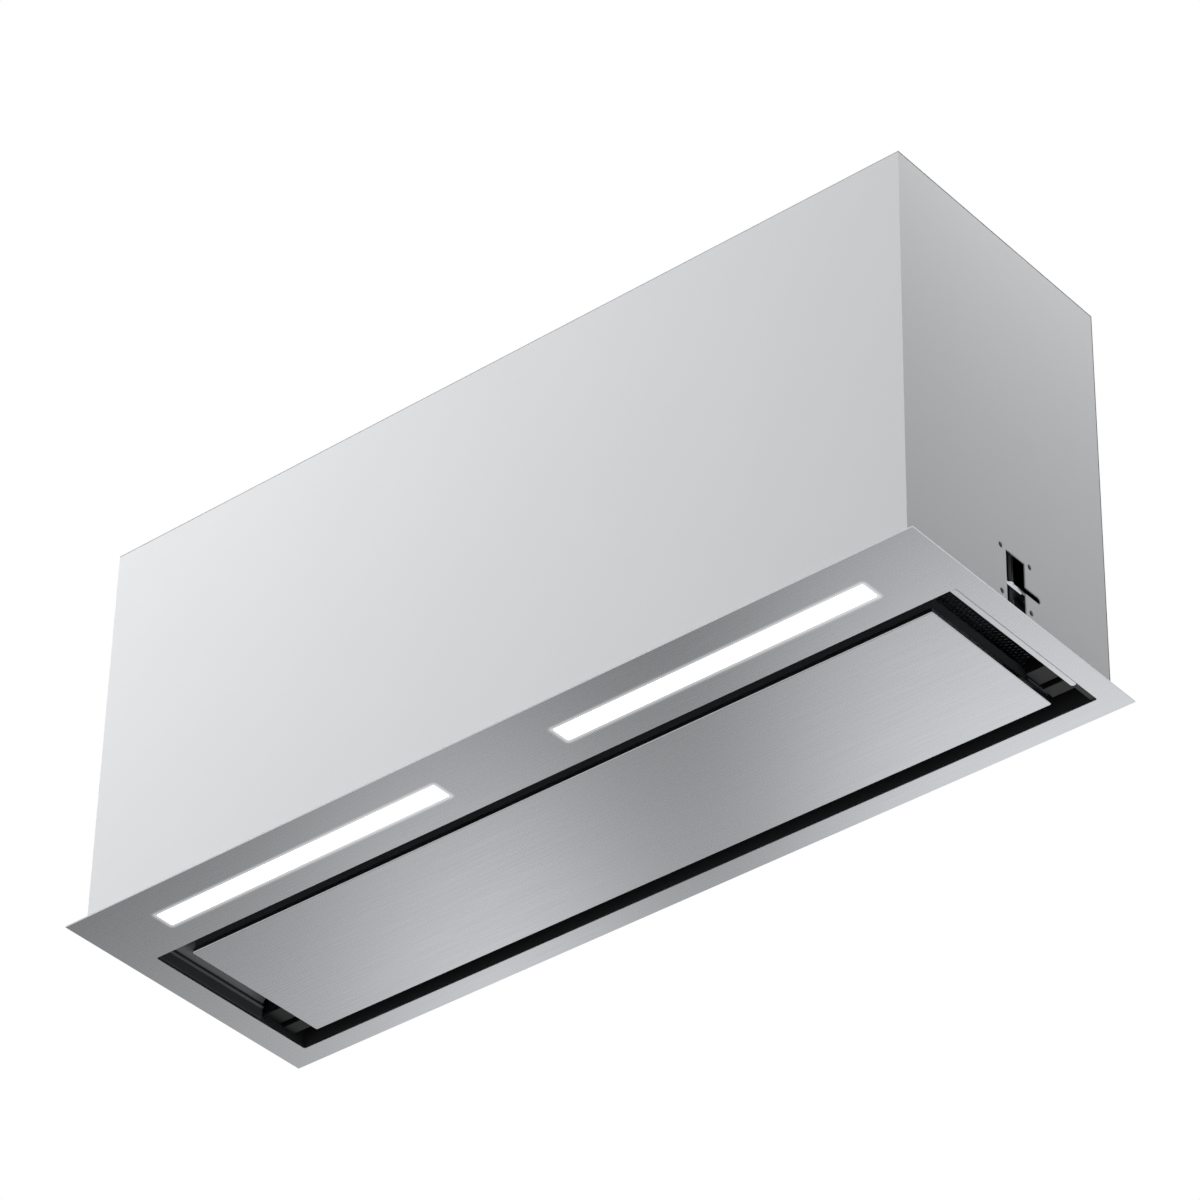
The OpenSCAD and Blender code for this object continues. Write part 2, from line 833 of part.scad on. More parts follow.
// The opal cover of a light strip, with a step that rests on the flange
module led_lens(side) {
  color([1, 1, 0.98])
    at_side(side) {
      block([led_inner, led_y0, 0], [led_x1, led_y1, led_lens_t]);
      block([led_inner - led_wall, led_y0 - led_wall, flange_t],
            [led_x1 + led_wall, led_y1 + led_wall, led_lens_t]);
    }
}

module led_lens_left() led_lens(-1);
module led_lens_right() led_lens(1);

// The aluminium trough over a light strip, with cooling fins along its back
module led_housing(side) {
  x0 = led_inner - 2 * led_wall;
  x1 = led_x1 + 2 * led_wall;
  y0 = led_y0 - 2 * led_wall;
  fin_step = (led_w + 4 * led_wall - led_fin_t) / (led_fins - 1);
  color([0.72, 0.73, 0.75])
    at_side(side) {
      difference() {
        block([x0, y0, flange_t], [x1, led_y1 + 2 * led_wall, led_z1]);
        block([led_inner - led_wall, led_y0 - led_wall, flange_t - over],
              [led_x1 + led_wall, led_y1 + led_wall, led_z1 - led_wall]);
      }
      for (i = [0:led_fins - 1])
        translate([0, y0 + i * fin_step, 0])
          block([x0, 0, led_z1 - led_wall / 2], [x1, led_fin_t, led_z1 + led_fin_h]);
    }
}

module led_housing_left() led_housing(-1);
module led_housing_right() led_housing(1);

// The strip of light diodes on the trough's inner face
module led_board(side) {
  z1 = led_z1 - led_wall;
  mid = (led_y0 + led_y1) / 2;
  color([0.92, 0.92, 0.86])
    at_side(side) {
      block([led_inner, led_y0 + led_wall, z1 - led_board_t], [led_x1, led_y1 - led_wall, z1]);
      for (i = [0:diode_count - 1])
        translate([led_inner + led_len * (i + 1 / 2) / diode_count, mid, z1 - led_board_t])
          block([-diode_w / 2, -diode_w / 2, -diode_t], [diode_w / 2, diode_w / 2, led_board_t / 2]);
    }
}

module led_board_left() led_board(-1);
module led_board_right() led_board(1);

// One moulded half of the blower: scroll wall, side plate, seam flange and inlet bell
module scroll_half(side) {
  throat_u = spiral_r0 * cos(tongue_a);
  color([0.2, 0.21, 0.22])
    at_side(side) {
      difference() {
        union() {
          across_x(0, scroll_x + scroll_t) polygon(scroll_outline(scroll_t));
          across_x(0, seam_t) polygon(scroll_outline(scroll_t + seam_w));
        }
        across_x(-over, scroll_x + over) polygon(scroll_outline(0));
        across_x(-over, scroll_x + over)
          translate([throat_u, throat_z - over]) square([spiral_r1 - throat_u, 2 * over]);
        translate([0, axis_y, axis_z]) rod_x(scroll_x - over, scroll_x + scroll_t + over, inlet_r);
        if (side > 0) mount_places() rod_x(scroll_x - over, scroll_x + scroll_t + over, grommet_bore_r);
      }
      translate([scroll_x + scroll_t, axis_y, axis_z]) rotate([0, 90, 0]) inlet_bell();
    }
}

module scroll_left() scroll_half(-1);
module scroll_right() scroll_half(1);

// The rounded lip round an inlet
module inlet_bell() {
  rotate_extrude($fn = 96)
    translate([inlet_r + bell_r, 0])
      difference() {
        circle(bell_r);
        circle(bell_r - bell_t);
        translate([-bell_r - over, -bell_r - over]) square([2 * (bell_r + over), bell_r + over]);
        translate([0, -over]) square([bell_r + over, bell_r + 2 * over]);
      }
}

// Places of the three screws that hold the motor's bracket
module mount_places() {
  for (a = mount_angles)
    translate([0, axis_y + mount_r * cos(a), axis_z + mount_r * sin(a)]) children();
}

// A forward-curved blade between two radii, in the wheel's plane
function blade_line(offset_t) = [
  for (i = [0:blade_steps])
    let (s = i / blade_steps, r = blade_r0 + (fan_r - wheel_ring_t / 4 - blade_r0) * s,
         a = blade_sweep * s * s + (offset_t / r) * 180 / PI)
    [r * cos(a), r * sin(a)]
];

// The two-sided fan wheel: a middle disc, two rows of blades, end rings and the hub
module fan_wheel() {
  half = wheel_len / 2;
  front = blade_line(blade_t / 2);
  back = blade_line(-blade_t / 2);
  blade = concat(front, [for (i = [blade_steps:-1:0]) back[i]]);
  color([0.32, 0.33, 0.35])
    translate([0, axis_y, axis_z])
      rotate([90, 0, 90])
        difference() {
          union() {
            translate([0, 0, -wheel_disc_t / 2]) cylinder(h = wheel_disc_t, r = fan_r, $fn = 96);
            translate([0, 0, -wheel_hub_len / 2]) cylinder(h = wheel_hub_len, r = wheel_hub_r);
            for (z = [-half, half - wheel_ring_t])
              translate([0, 0, z])
                difference() {
                  cylinder(h = wheel_ring_t, r = fan_r, $fn = 96);
                  translate([0, 0, -over])
                    cylinder(h = wheel_ring_t + 2 * over, r = fan_r - wheel_ring_w, $fn = 96);
                }
            for (i = [0:blade_count - 1])
              rotate(i * 360 / blade_count)
                translate([0, 0, -half + wheel_ring_t / 2])
                  linear_extrude(wheel_len - wheel_ring_t) polygon(blade);
          }
          translate([0, 0, -wheel_hub_len]) cylinder(h = 2 * wheel_hub_len, r = shaft_r + fit_gap);
        }
}

// The motor inside the wheel's right half, with chamfered ends and a ribbed middle
module motor() {
  color([0.55, 0.56, 0.58])
    translate([motor_x0, axis_y, axis_z])
      rotate([0, 90, 0])
        difference() {
          union() {
            rotate_extrude($fn = 96)
              polygon([
                [0, 0], [drum_r - 2 * motor_edge, 0], [drum_r, motor_edge],
                [drum_r, motor_len - motor_edge], [drum_r - motor_edge, motor_len], [0, motor_len]
              ]);
            translate([0, 0, -motor_boss_len]) cylinder(h = motor_boss_len + over, r = motor_boss_r);
            for (i = [0:motor_ribs - 1])
              translate([0, 0, motor_rib_from + i * 2 * motor_rib_w])
                cylinder(h = motor_rib_w, r = drum_r + motor_rib_h, $fn = 96);
          }
          translate([0, 0, -motor_boss_len - over])
            cylinder(h = motor_len + motor_boss_len + 2 * over, r = shaft_r + run_gap);
        }
}

// The steel shaft through the motor and the wheel's hub
module motor_shaft() {
  color([0.8, 0.81, 0.83])
    translate([0, axis_y, axis_z])
      rod_x(-wheel_hub_len / 2 - shaft_past, motor_x1 - sheet_gap, shaft_r);
}

// The three-armed bracket that carries the motor across the right inlet
module motor_bracket() {
  color([0.6, 0.61, 0.63])
    difference() {
      translate([0, axis_y, axis_z]) {
        rod_x(motor_x1, motor_x1 + spider_t, spider_r);
        for (a = mount_angles)
          rotate([a, 0, 0]) {
            block([motor_x1, 0, -spider_arm_w / 2], [motor_x1 + spider_t, mount_r, spider_arm_w / 2]);
            translate([0, mount_r, 0]) rod_x(motor_x1, motor_x1 + spider_t, spider_arm_w / 2);
          }
      }
      mount_places() rod_x(motor_x1 - over, motor_x1 + spider_t + over, grommet_bore_r);
    }
}

// The rubber bushes between the bracket and the blower's side plate
module motor_grommets() {
  color([0.08, 0.08, 0.08])
    mount_places()
      difference() {
        rod_x(scroll_x + scroll_t, motor_x1, grommet_r);
        rod_x(scroll_x, motor_x1 + over, grommet_bore_r);
      }
}

// The screws through bracket, bushes and side plate, each with its nut
module motor_screws() {
  color([0.8, 0.81, 0.83])
    mount_places() {
      rod_x(scroll_x - mount_nut_h, motor_x1 + spider_t + over, mount_screw_r);
      rod_x(motor_x1 + spider_t, motor_x1 + spider_t + mount_head_h, mount_nut_r);
      translate([scroll_x - mount_nut_h, 0, 0])
        rotate([0, 90, 0]) cylinder(h = mount_nut_h, r = mount_nut_r, $fn = 6);
    }
}

// The strap from the top sheet down to the blower's seam
module blower_strap() {
  seam_y = min([for (p = scroll_outline(scroll_t + seam_w)) p[0]]);
  y1 = axis_y + seam_y - sheet_gap;
  color([0.7, 0.71, 0.73]) {
    block([-strap_w / 2, y1 - strap_t, axis_z - strap_low], [strap_w / 2, y1, in_z1]);
    block([-strap_w / 2, in_y0 + fold_w + seat_gap, in_z1 - strap_t], [strap_w / 2, y1 + strap_foot, in_z1]);
  }
}

// The duct that turns the blower's square throat into the round socket
module outlet_adapter() {
  z0 = axis_z + throat_z;
  z1 = in_z1 - socket_h;
  u0 = spiral_r0 * cos(tongue_a);
  r = duct_r + seat_gap;
  color([0.2, 0.21, 0.22])
    difference() {
      hull() {
        block([-scroll_x - scroll_t, axis_y + u0 - scroll_t, z0],
              [scroll_x + scroll_t, axis_y + spiral_r1 + scroll_t, z0 + adapter_lip]);
        translate([0, collar_y, z1]) cylinder(h = socket_h, r = r + socket_t, $fn = 64);
      }
      hull() {
        block([-scroll_x, axis_y + u0, z0 - over], [scroll_x, axis_y + spiral_r1, z0 + adapter_lip]);
        translate([0, collar_y, z1]) cylinder(h = socket_h + over, r = r, $fn = 64);
      }
    }
}

// The round collar on top, with stops for the damper's flaps
module outlet_collar() {
  top = case_z1 + collar_h;
  low = in_z1 - collar_down;
  stop_z1 = damper_z - flap_t / 2 - seat_gap;
  color([0.13, 0.13, 0.14])
    translate([0, collar_y, 0])
      difference() {
        union() {
          difference() {
            union() {
              translate([0, 0, low]) cylinder(h = top - low, r = duct_r, $fn = 96);
              translate([0, 0, case_z1])
                cylinder(h = collar_flange_t, r = duct_r + collar_flange_w, $fn = 96);
            }
            translate([0, 0, low - over]) cylinder(h = top - low + 2 * over, r = duct_r - collar_t, $fn = 96);
          }
          for (a = stop_angles)
            rotate(a)
              block([duct_r - collar_t - stop_d, -stop_w / 2, stop_z1 - stop_t],
                    [duct_r - collar_t / 2, stop_w / 2, stop_z1]);
        }
        translate([0, 0, damper_z]) rod_x(-duct_r - over, duct_r + over, damper_pin_d / 2 + fit_gap);
      }
}

// A half-round flap of the damper; its three knuckles lie between the other flap's
module damper_flap(side) {
  r = duct_r - collar_t - flap_gap;
  near = flap_knuckle_r + flap_clear;
  color([0.24, 0.25, 0.26])
    translate([0, collar_y, damper_z])
      rotate(side > 0 ? 0 : 180)
        difference() {
          union() {
            intersection() {
              translate([0, 0, -flap_t / 2]) cylinder(h = flap_t, r = r, $fn = 96);
              block([-r, near, -flap_t], [r, r, flap_t]);
            }
            for (i = [0:2])
              translate([(2 * i - 3) * knuckle_len + flap_clear / 2, 0, 0]) {
                rod_x(0, knuckle_len - flap_clear, flap_knuckle_r);
                block([0, 0, -flap_t / 2], [knuckle_len - flap_clear, near + flap_clear, flap_t / 2]);
              }
          }
          rod_x(-r, r, damper_pin_d / 2 + run_gap);
        }
}

module damper_flap_front() damper_flap(-1);
module damper_flap_back() damper_flap(1);

// The pin across the collar that both flaps hang on
module damper_pin() {
  color([0.8, 0.81, 0.83])
    translate([0, collar_y, damper_z]) rod_x(-duct_r, duct_r, damper_pin_d / 2);
}

// The control box under the top sheet, open below
module control_box() {
  color([0.75, 0.76, 0.77])
    difference() {
      block([box_x0, box_y0, box_z0], [box_x1, box_y1, in_z1]);
      block([box_x0 + box_t, box_y0 + box_t, box_z0 - over],
            [box_x1 - box_t, box_y1 - box_t, in_z1 - box_t]);
      translate([gland_x, gland_y, in_z1 - box_t - over])
        cylinder(h = box_t + 2 * over, r = gland_body_r + sheet_gap);
      translate([0, (box_y0 + box_y1) / 2, cap_z])
        rod_x(box_x1 - box_t - over, box_x1 + over, cap_stud_r + fit_gap);
    }
}

// The box's lid, a sheet with its edges turned up inside the box
module control_box_lid() {
  lip = box_t + sheet_gap;
  color([0.78, 0.79, 0.8])
    difference() {
      union() {
        block([box_x0, box_y0, box_z0 - box_t], [box_x1, box_y1, box_z0]);
        block([box_x0 + lip, box_y0 + lip, box_z0 - box_t / 2],
              [box_x1 - lip, box_y1 - lip, box_z0 + lid_lip]);
      }
      block([box_x0 + lip + box_t, box_y0 + lip + box_t, box_z0],
            [box_x1 - lip - box_t, box_y1 - lip - box_t, box_z0 + lid_lip + over]);
    }
}

// The circuit board on four posts, with its relays and transformer
module control_board() {
  x0 = box_x0 + board_edge;
  x1 = box_x1 - board_edge - cap_stud_len;
  y0 = box_y0 + board_edge;
  y1 = gland_y - gland_hex_r - board_edge / 2;
  z1 = in_z1 - box_t - board_drop;
  color([0.1, 0.36, 0.22]) {
    block([x0, y0, z1 - board_t], [x1, y1, z1]);
    for (x = [x0 + post_r, x1 - post_r], y = [y0 + post_r, y1 - post_r])
      translate([x, y, z1 - board_t / 2]) cylinder(h = board_drop + board_t / 2, r = post_r, $fn = 24);
    for (i = [0:relay_count - 1])
      translate([x0 + 3 * post_r + i * (relay_w + post_r), y0 + post_r, z1 - board_t / 2])
        cube([relay_w, relay_d, relay_h]);
    translate([x1 - coil_w - 3 * post_r, y1 - coil_d - post_r, z1 - board_t / 2])
      cube([coil_w, coil_d, coil_h]);
  }
}

// The motor's capacitor, held by its stud in the box's wall
module motor_capacitor() {
  color([0.85, 0.85, 0.86])
    translate([0, (box_y0 + box_y1) / 2, cap_z]) {
      rod_x(box_x1 - cap_stud_len, box_x1 + over, cap_stud_r);
      rod_x(box_x1, box_x1 + cap_len, cap_r);
    }
}

// The mains terminal block beside the gland
module terminal_block() {
  z1 = in_z1 - box_t;
  color([0.93, 0.92, 0.88])
    translate([gland_x + gland_hex_r + term_from_gland, gland_y, 0])
      difference() {
        block([0, -term_d / 2, z1 - term_h], [term_w, term_d / 2, z1]);
        for (i = [0:term_ways - 1])
          translate([term_w * (i + 1 / 2) / term_ways, -term_d, z1 - term_h / 2])
            rotate([-90, 0, 0]) cylinder(h = 2 * term_d, r = term_hole_r, $fn = 24);
      }
}

// The gland that the mains lead enters through, with its nut inside the box
module cable_gland() {
  low = in_z1 - gland_below;
  high = case_z1 + gland_hex_h + gland_cap_h;
  color([0.1, 0.1, 0.11])
    translate([gland_x, gland_y, 0])
      difference() {
        union() {
          translate([0, 0, low]) cylinder(h = case_z1 - low + over, r = gland_body_r);
          translate([0, 0, in_z1 - box_t - gland_nut_h]) cylinder(h = gland_nut_h, r = gland_hex_r, $fn = 6);
          translate([0, 0, case_z1]) cylinder(h = gland_hex_h, r = gland_hex_r, $fn = 6);
          translate([0, 0, high - gland_cap_h - over]) cylinder(h = gland_cap_h + over, r = gland_cap_r);
        }
        translate([0, 0, low - over]) cylinder(h = high - low + 2 * over, r = gland_bore_d / 2);
      }
}

// The light strips' driver under the top sheet
module led_driver() {
  y0 = mid_y - driver_d / 2;
  z0 = in_z1 - driver_foot_t;
  color([0.9, 0.9, 0.9]) {
    block([driver_x0, y0, in_z1 - driver_h], [driver_x1, y0 + driver_d, z0]);
    difference() {
      block([driver_x0 - driver_foot, y0, z0], [driver_x1 + driver_foot, y0 + driver_d, in_z1]);
      for (x = [driver_x0 - driver_foot / 2, driver_x1 + driver_foot / 2])
        translate([x, mid_y, z0 - over]) cylinder(h = driver_foot_t + 2 * over, r = screw_r, $fn = 24);
    }
  }
}

// A clamp's bracket inside the end wall: a plate round the window, two lugs and a ribbed guide
module clamp_bracket(side) {
  y0 = clamp_y - fix_dy / 2 - clamp_plate_edge;
  y1 = clamp_y + fix_dy / 2 + clamp_plate_edge;
  color([0.14, 0.14, 0.15])
    at_side(side)
      difference() {
        union() {
          difference() {
            block([in_x - clamp_plate_t, y0, clamp_z0], [in_x, y1, clamp_z1]);
            clamp_cuts(in_x - clamp_plate_t - over, clamp_window_play);
          }
          for (z = [clamp_z0, clamp_z1 - clamp_lug_t])
            block([guide_x0, clamp_y - guide_w / 2, z], [in_x, clamp_y + guide_w / 2, z + clamp_lug_t]);
          block([guide_x0, clamp_y - guide_w / 2, clamp_z0],
                [guide_x0 + guide_t, clamp_y + guide_w / 2, clamp_z1]);
          for (i = [0:guide_ribs - 1])
            translate([guide_x0, clamp_y - guide_w / 2, clamp_z0])
              translate([0, i * (guide_w - guide_rib_w) / (guide_ribs - 1), 0])
                block([0, 0, 0], [guide_t + guide_rib_h, guide_rib_w, clamp_z1 - clamp_z0]);
        }
        fixing_holes();
        translate([clamp_x, clamp_y, 0])
          cylinder(h = clamp_z1 + over, r = clamp_screw_d / 2 + run_gap, $fn = 32);
      }
}

module clamp_bracket_left() clamp_bracket(-1);
module clamp_bracket_right() clamp_bracket(1);

// A clamp's screw, with its six-sided head above the bracket
module clamp_screw(side) {
  color([0.3, 0.3, 0.31])
    at_side(side)
      translate([clamp_x, clamp_y, 0]) {
        translate([0, 0, clamp_z0]) cylinder(h = clamp_z1 - clamp_z0 + over, r = clamp_screw_d / 2, $fn = 32);
        translate([0, 0, clamp_z1]) cylinder(h = clamp_head_h, r = clamp_head_r, $fn = 6);
      }
}

module clamp_screw_left() clamp_screw(-1);
module clamp_screw_right() clamp_screw(1);

// The threaded block that the screw moves, kept from turning by the guide, with a boss for the arm
module clamp_nut(side) {
  color([0.78, 0.79, 0.8])
    at_side(side)
      translate([clamp_x, clamp_y, clamp_arm_z0 - clamp_nut_h])
        difference() {
          union() {
            block([-clamp_nut_back, -clamp_nut_w / 2, 0], [clamp_hub_r, clamp_nut_w / 2, clamp_nut_h]);
            cylinder(h = clamp_nut_h + clamp_arm_t, r = clamp_boss_r, $fn = 32);
          }
          translate([0, 0, -over])
            cylinder(h = clamp_nut_h + clamp_arm_t + 2 * over, r = clamp_screw_d / 2 + run_gap, $fn = 32);
        }
}

module clamp_nut_left() clamp_nut(-1);
module clamp_nut_right() clamp_nut(1);

// The clamp's arm, stowed along the wall, with a tooth under its tip
module clamp_arm(side) {
  tip = clamp_arm_len - clamp_arm_w / 2;
  color([0.8, 0.81, 0.82])
    at_side(side)
      translate([clamp_x, clamp_y, clamp_arm_z0])
        difference() {
          union() {
            cylinder(h = clamp_arm_t, r = clamp_hub_r, $fn = 32);
            block([-clamp_arm_w / 2, 0, 0], [clamp_arm_w / 2, tip, clamp_arm_t]);
            translate([0, tip, 0]) cylinder(h = clamp_arm_t, r = clamp_arm_w / 2, $fn = 32);
            block([-clamp_arm_w / 2, tip - clamp_tooth_len, -clamp_tooth],
                  [clamp_arm_w / 2, tip, clamp_arm_t / 2]);
          }
          translate([0, 0, -over])
            cylinder(h = clamp_arm_t + 2 * over, r = clamp_boss_r + run_gap, $fn = 32);
        }
}

module clamp_arm_left() clamp_arm(-1);
module clamp_arm_right() clamp_arm(1);

// Pan-headed screws round the back and the top
module casing_screws() {
  color([0.8, 0.81, 0.83])
    screw_places() {
      cylinder(h = screw_len, r = screw_r, $fn = 24);
      translate([0, 0, -screw_head_h]) cylinder(h = screw_head_h, r = screw_head_r, $fn = 24);
    }
}

flange_frame();
casing_shell();
casing_back();
casing_top();
recess_frame();
filter_divider();
end_trim();
suction_panel();
panel_backing();
panel_hinge_arms();
hinge_bracket_left();
hinge_bracket_right();
hinge_pins();
panel_magnets();
magnet_strikes();
filter_frame_left();
filter_frame_right();
filter_core_left();
filter_core_right();
filter_latch_left();
filter_latch_right();
led_lens_left();
led_lens_right();
led_housing_left();
led_housing_right();
led_board_left();
led_board_right();
scroll_left();
scroll_right();
fan_wheel();
motor();
motor_shaft();
motor_bracket();
motor_grommets();
motor_screws();
blower_strap();
outlet_adapter();
outlet_collar();
damper_flap_front();
damper_flap_back();
damper_pin();
control_box();
control_box_lid();
control_board();
motor_capacitor();
terminal_block();
cable_gland();
led_driver();
clamp_bracket_left();
clamp_bracket_right();
clamp_screw_left();
clamp_screw_right();
clamp_nut_left();
clamp_nut_right();
clamp_arm_left();
clamp_arm_right();
casing_screws();
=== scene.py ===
"""Looks of a built-in range hood: brushed flange and panel, lit strips, coated casing, inner pieces."""

import json
import math

import bmesh
import bpy
from bpy.props import FloatProperty, FloatVectorProperty, IntProperty, PointerProperty
from mathutils import Matrix, Vector


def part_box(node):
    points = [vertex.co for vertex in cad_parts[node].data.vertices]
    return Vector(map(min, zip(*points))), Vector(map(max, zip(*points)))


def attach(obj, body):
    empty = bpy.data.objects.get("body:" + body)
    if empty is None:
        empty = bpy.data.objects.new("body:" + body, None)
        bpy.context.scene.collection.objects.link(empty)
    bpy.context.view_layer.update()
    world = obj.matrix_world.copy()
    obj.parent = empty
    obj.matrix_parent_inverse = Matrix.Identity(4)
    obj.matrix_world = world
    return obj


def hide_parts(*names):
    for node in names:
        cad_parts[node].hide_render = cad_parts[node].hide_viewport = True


bl_info = {
    "name": "Range hood looks",
    "version": (1, 0, 0),
    "blender": (4, 5, 0),
    "location": "3D View > Sidebar > Hood",
    "description": "Models and finishes a built-in range hood round its packed frame",
    "category": "Object",
}

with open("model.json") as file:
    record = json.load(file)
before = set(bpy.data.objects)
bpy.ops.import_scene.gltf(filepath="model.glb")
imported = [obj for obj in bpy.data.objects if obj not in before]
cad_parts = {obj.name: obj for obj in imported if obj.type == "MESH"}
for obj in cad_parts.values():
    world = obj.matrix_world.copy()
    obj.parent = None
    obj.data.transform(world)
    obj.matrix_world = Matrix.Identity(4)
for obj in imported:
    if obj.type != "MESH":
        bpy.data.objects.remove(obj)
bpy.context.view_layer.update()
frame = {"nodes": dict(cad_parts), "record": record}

MM = 0.001
SIDES = ("left", "right")
# How near a picked face, edge or corner lies to its place
NEAR = 0.1 * MM
# Width of the recess's foot on the flange, all round the opening
RECESS_FOOT = 6 * MM
# How far a light cover's rim reaches behind the flange
LENS_STEP = 2 * MM
WHITE = (1, 1, 1, 1)


def linear(code):
    """An sRGB hex colour such as '#B0B2B4' as linear red, green and blue."""
    parts = [int(code[i:i + 2], 16) / 255 for i in (1, 3, 5)]
    return tuple(c / 12.92 if c <= 0.04045 else ((c + 0.055) / 1.055) ** 2.4 for c in parts)


def span(node):
    """Lowest and highest corner of a CAD node, in metres."""
    low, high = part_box(node)
    return low.copy(), high.copy()


# Settings


def amount(name, description, value, unit="NONE"):
    """A setting for a number, which the panel shows with its unit."""
    return FloatProperty(name=name, description=description, default=value, unit=unit)


def length(name, description, size):
    """A setting for a length, its default in millimetres."""
    return amount(name, description, size * MM, "LENGTH")


def tone(name, description, code):
    """A setting for a colour, its default in sRGB hex."""
    return FloatVectorProperty(
        name=name, description=description, subtype="COLOR", size=3, default=linear(code))


class HoodSizes(bpy.types.PropertyGroup):
    """Sizes of the modelled detail, each from the real sheet, screw or mesh."""

    sheet_edge: length("Sheet edge", "Rounding of a deburred sheet edge", 0.3)
    panel_edge: length("Panel edge", "Bend radius of the panel's turned-up edges", 1.0)
    panel_corner: length("Panel corner", "Radius of the panel's four corners", 1.5)
    moulded_edge: length("Moulded edge", "Rounding of moulded and cast pieces", 0.45)
    mesh_pitch: length("Mesh pitch", "Length of one opening of the filters' expanded mesh", 7.5)
    mesh_wire: length("Mesh strand", "Width of a strand of the filters' expanded mesh", 0.9)
    thread_pitch: length("Thread pitch", "Pitch of the clamp screws' thread", 0.7)
    gland_ribs: IntProperty(
        name="Gland ribs", description="Grip ribs round the cable gland's cap", default=20)


class HoodColours(bpy.types.PropertyGroup):
    """Colours of the finishes that the photograph shows most of."""

    steel: tone("Brushed steel", "Stainless sheet of the flange and the panel", "#C6C8CB")
    trim: tone("Trim strip", "Bright strip at the right end of the opening", "#CFD1D4")
    casing: tone("Casing", "Coated sheet of the casing's front and ends", "#E4E5E7")
    recess: tone("Recess", "Black powder coat inside the opening", "#353638")
    tray: tone("Tray", "Grey powder coat of the tray behind the panel", "#626467")
    light: tone("Light cover", "Opal cover of the light strips", "#FFFFFF")


class HoodStudio(bpy.types.PropertyGroup):
    """Camera and light of the product picture."""

    azimuth: amount("Azimuth", "Turn of the camera round the hood, 0 looks along +Y",
                    math.radians(40.52), "ROTATION")
    elevation: amount("Elevation", "Height of the camera over the hood, below it here",
                      math.radians(-36.51), "ROTATION")
    roll: amount("Roll", "Turn of the camera about its own axis", math.radians(1.18), "ROTATION")
    distance: amount("Distance", "From the aim point to the camera", 4.11, "LENGTH")
    lens: amount("Lens", "Focal length in mm on a 36 mm sensor", 153.7)
    world_light: amount("World light", "Strength of the even studio light", 0.4)
    key_power: amount("Front lamp", "Power of the lamp in front on the left", 37, "POWER")
    fill_power: amount("End lamp", "Power of the small lamp over the right end", 3.5, "POWER")
    card_light: amount("Card light", "Strength of the card that the steel reflects", 1.0)
    strip_glow: amount("Strip light", "Strength of the light strips' covers", 2.2)


# Modelling helpers


def only(obj):
    """Selects one object and nothing else."""
    bpy.ops.object.select_all(action="DESELECT")
    obj.select_set(True)
    bpy.context.view_layer.objects.active = obj


def settle(obj):
    """Applies an object's place, turn and size to its mesh."""
    only(obj)
    bpy.ops.object.transform_apply(location=True, rotation=True, scale=True)


def begin(name, primitive, scale=(1, 1, 1), **settings):
    """Adds a primitive with nothing else selected, and opens it in edit mode in the hood's coordinates."""
    bpy.ops.object.select_all(action="DESELECT")
    primitive(**settings)
    obj = bpy.context.active_object
    obj.name = obj.data.name = name
    obj.scale = scale
    settle(obj)
    bpy.ops.object.mode_set(mode="EDIT")
    return obj


def copy_of(obj, name):
    """A copy of a piece, with its own mesh."""
    only(obj)
    bpy.ops.object.duplicate(linked=False)
    twin = bpy.context.active_object
    twin.name = twin.data.name = name
    return twin


def pick(obj, kind, test):
    """In edit mode, selects the 'VERT', 'EDGE' or 'FACE' elements that pass a test on (middle, element)."""
    bpy.ops.mesh.select_mode(type=kind)
    bpy.ops.mesh.select_all(action="DESELECT")
    bm = bmesh.from_edit_mesh(obj.data)
    for item in {"VERT": bm.verts, "EDGE": bm.edges, "FACE": bm.faces}[kind]:
        corners = [item.co] if kind == "VERT" else [vert.co for vert in item.verts]
        if test(sum(corners, Vector()) / len(corners), item):
            item.select_set(True)
    bmesh.update_edit_mesh(obj.data)


def upright(edge):
    """Whether an edge runs along Z."""
    line = edge.verts[0].co - edge.verts[1].co
    return abs(line.z) > 0.99 * line.length


def corner(edge):
    """Whether an edge lies between two faces that meet at an angle."""
    return len(edge.link_faces) == 2 and edge.calc_face_angle(0) > math.radians(30)


def block_piece(name, low, high):
    """A closed block between two corners, left open in edit mode."""
    low, high = Vector(low), Vector(high)
    return begin(name, bpy.ops.mesh.primitive_cube_add, high - low, size=1, location=(low + high) / 2)


def round_piece(name, sides, radius, middle, bottom, top):
    """A closed cylinder or prism round a middle, between two heights, left open in edit mode."""
    return begin(name, bpy.ops.mesh.primitive_cylinder_add, vertices=sides, radius=radius,
                 depth=top - bottom, location=(middle.x, middle.y, (top + bottom) / 2))


def slice_at(point, normal):
    """In edit mode, cuts the whole mesh along a plane and keeps both sides."""
    bpy.ops.mesh.select_all(action="SELECT")
    bpy.ops.mesh.bisect(plane_co=point, plane_no=normal)


def extrude(height):
    """In edit mode, extrudes the selected faces along Z."""
    bpy.ops.mesh.extrude_region_move(TRANSFORM_OT_translate={"value": (0, 0, height)})


def outward():
    """In edit mode, turns every normal outward."""
    bpy.ops.mesh.select_all(action="SELECT")
    bpy.ops.mesh.normals_make_consistent(inside=False)


def round_edges(obj, width, steps, test):
    """In edit mode, bevels the sharp edges that pass a test."""
    pick(obj, "EDGE", lambda mid, edge: corner(edge) and test(mid, edge))
    bpy.ops.mesh.bevel(offset=width, segments=steps, affect="EDGES")


def close_piece(obj, angle=35):
    """Leaves edit mode with merged doubles, outward normals and smooth shading up to an angle."""
    bpy.ops.mesh.select_all(action="SELECT")
    bpy.ops.mesh.remove_doubles(threshold=1e-6)
    outward()
    bpy.ops.object.mode_set(mode="OBJECT")
    smooth(obj, angle)


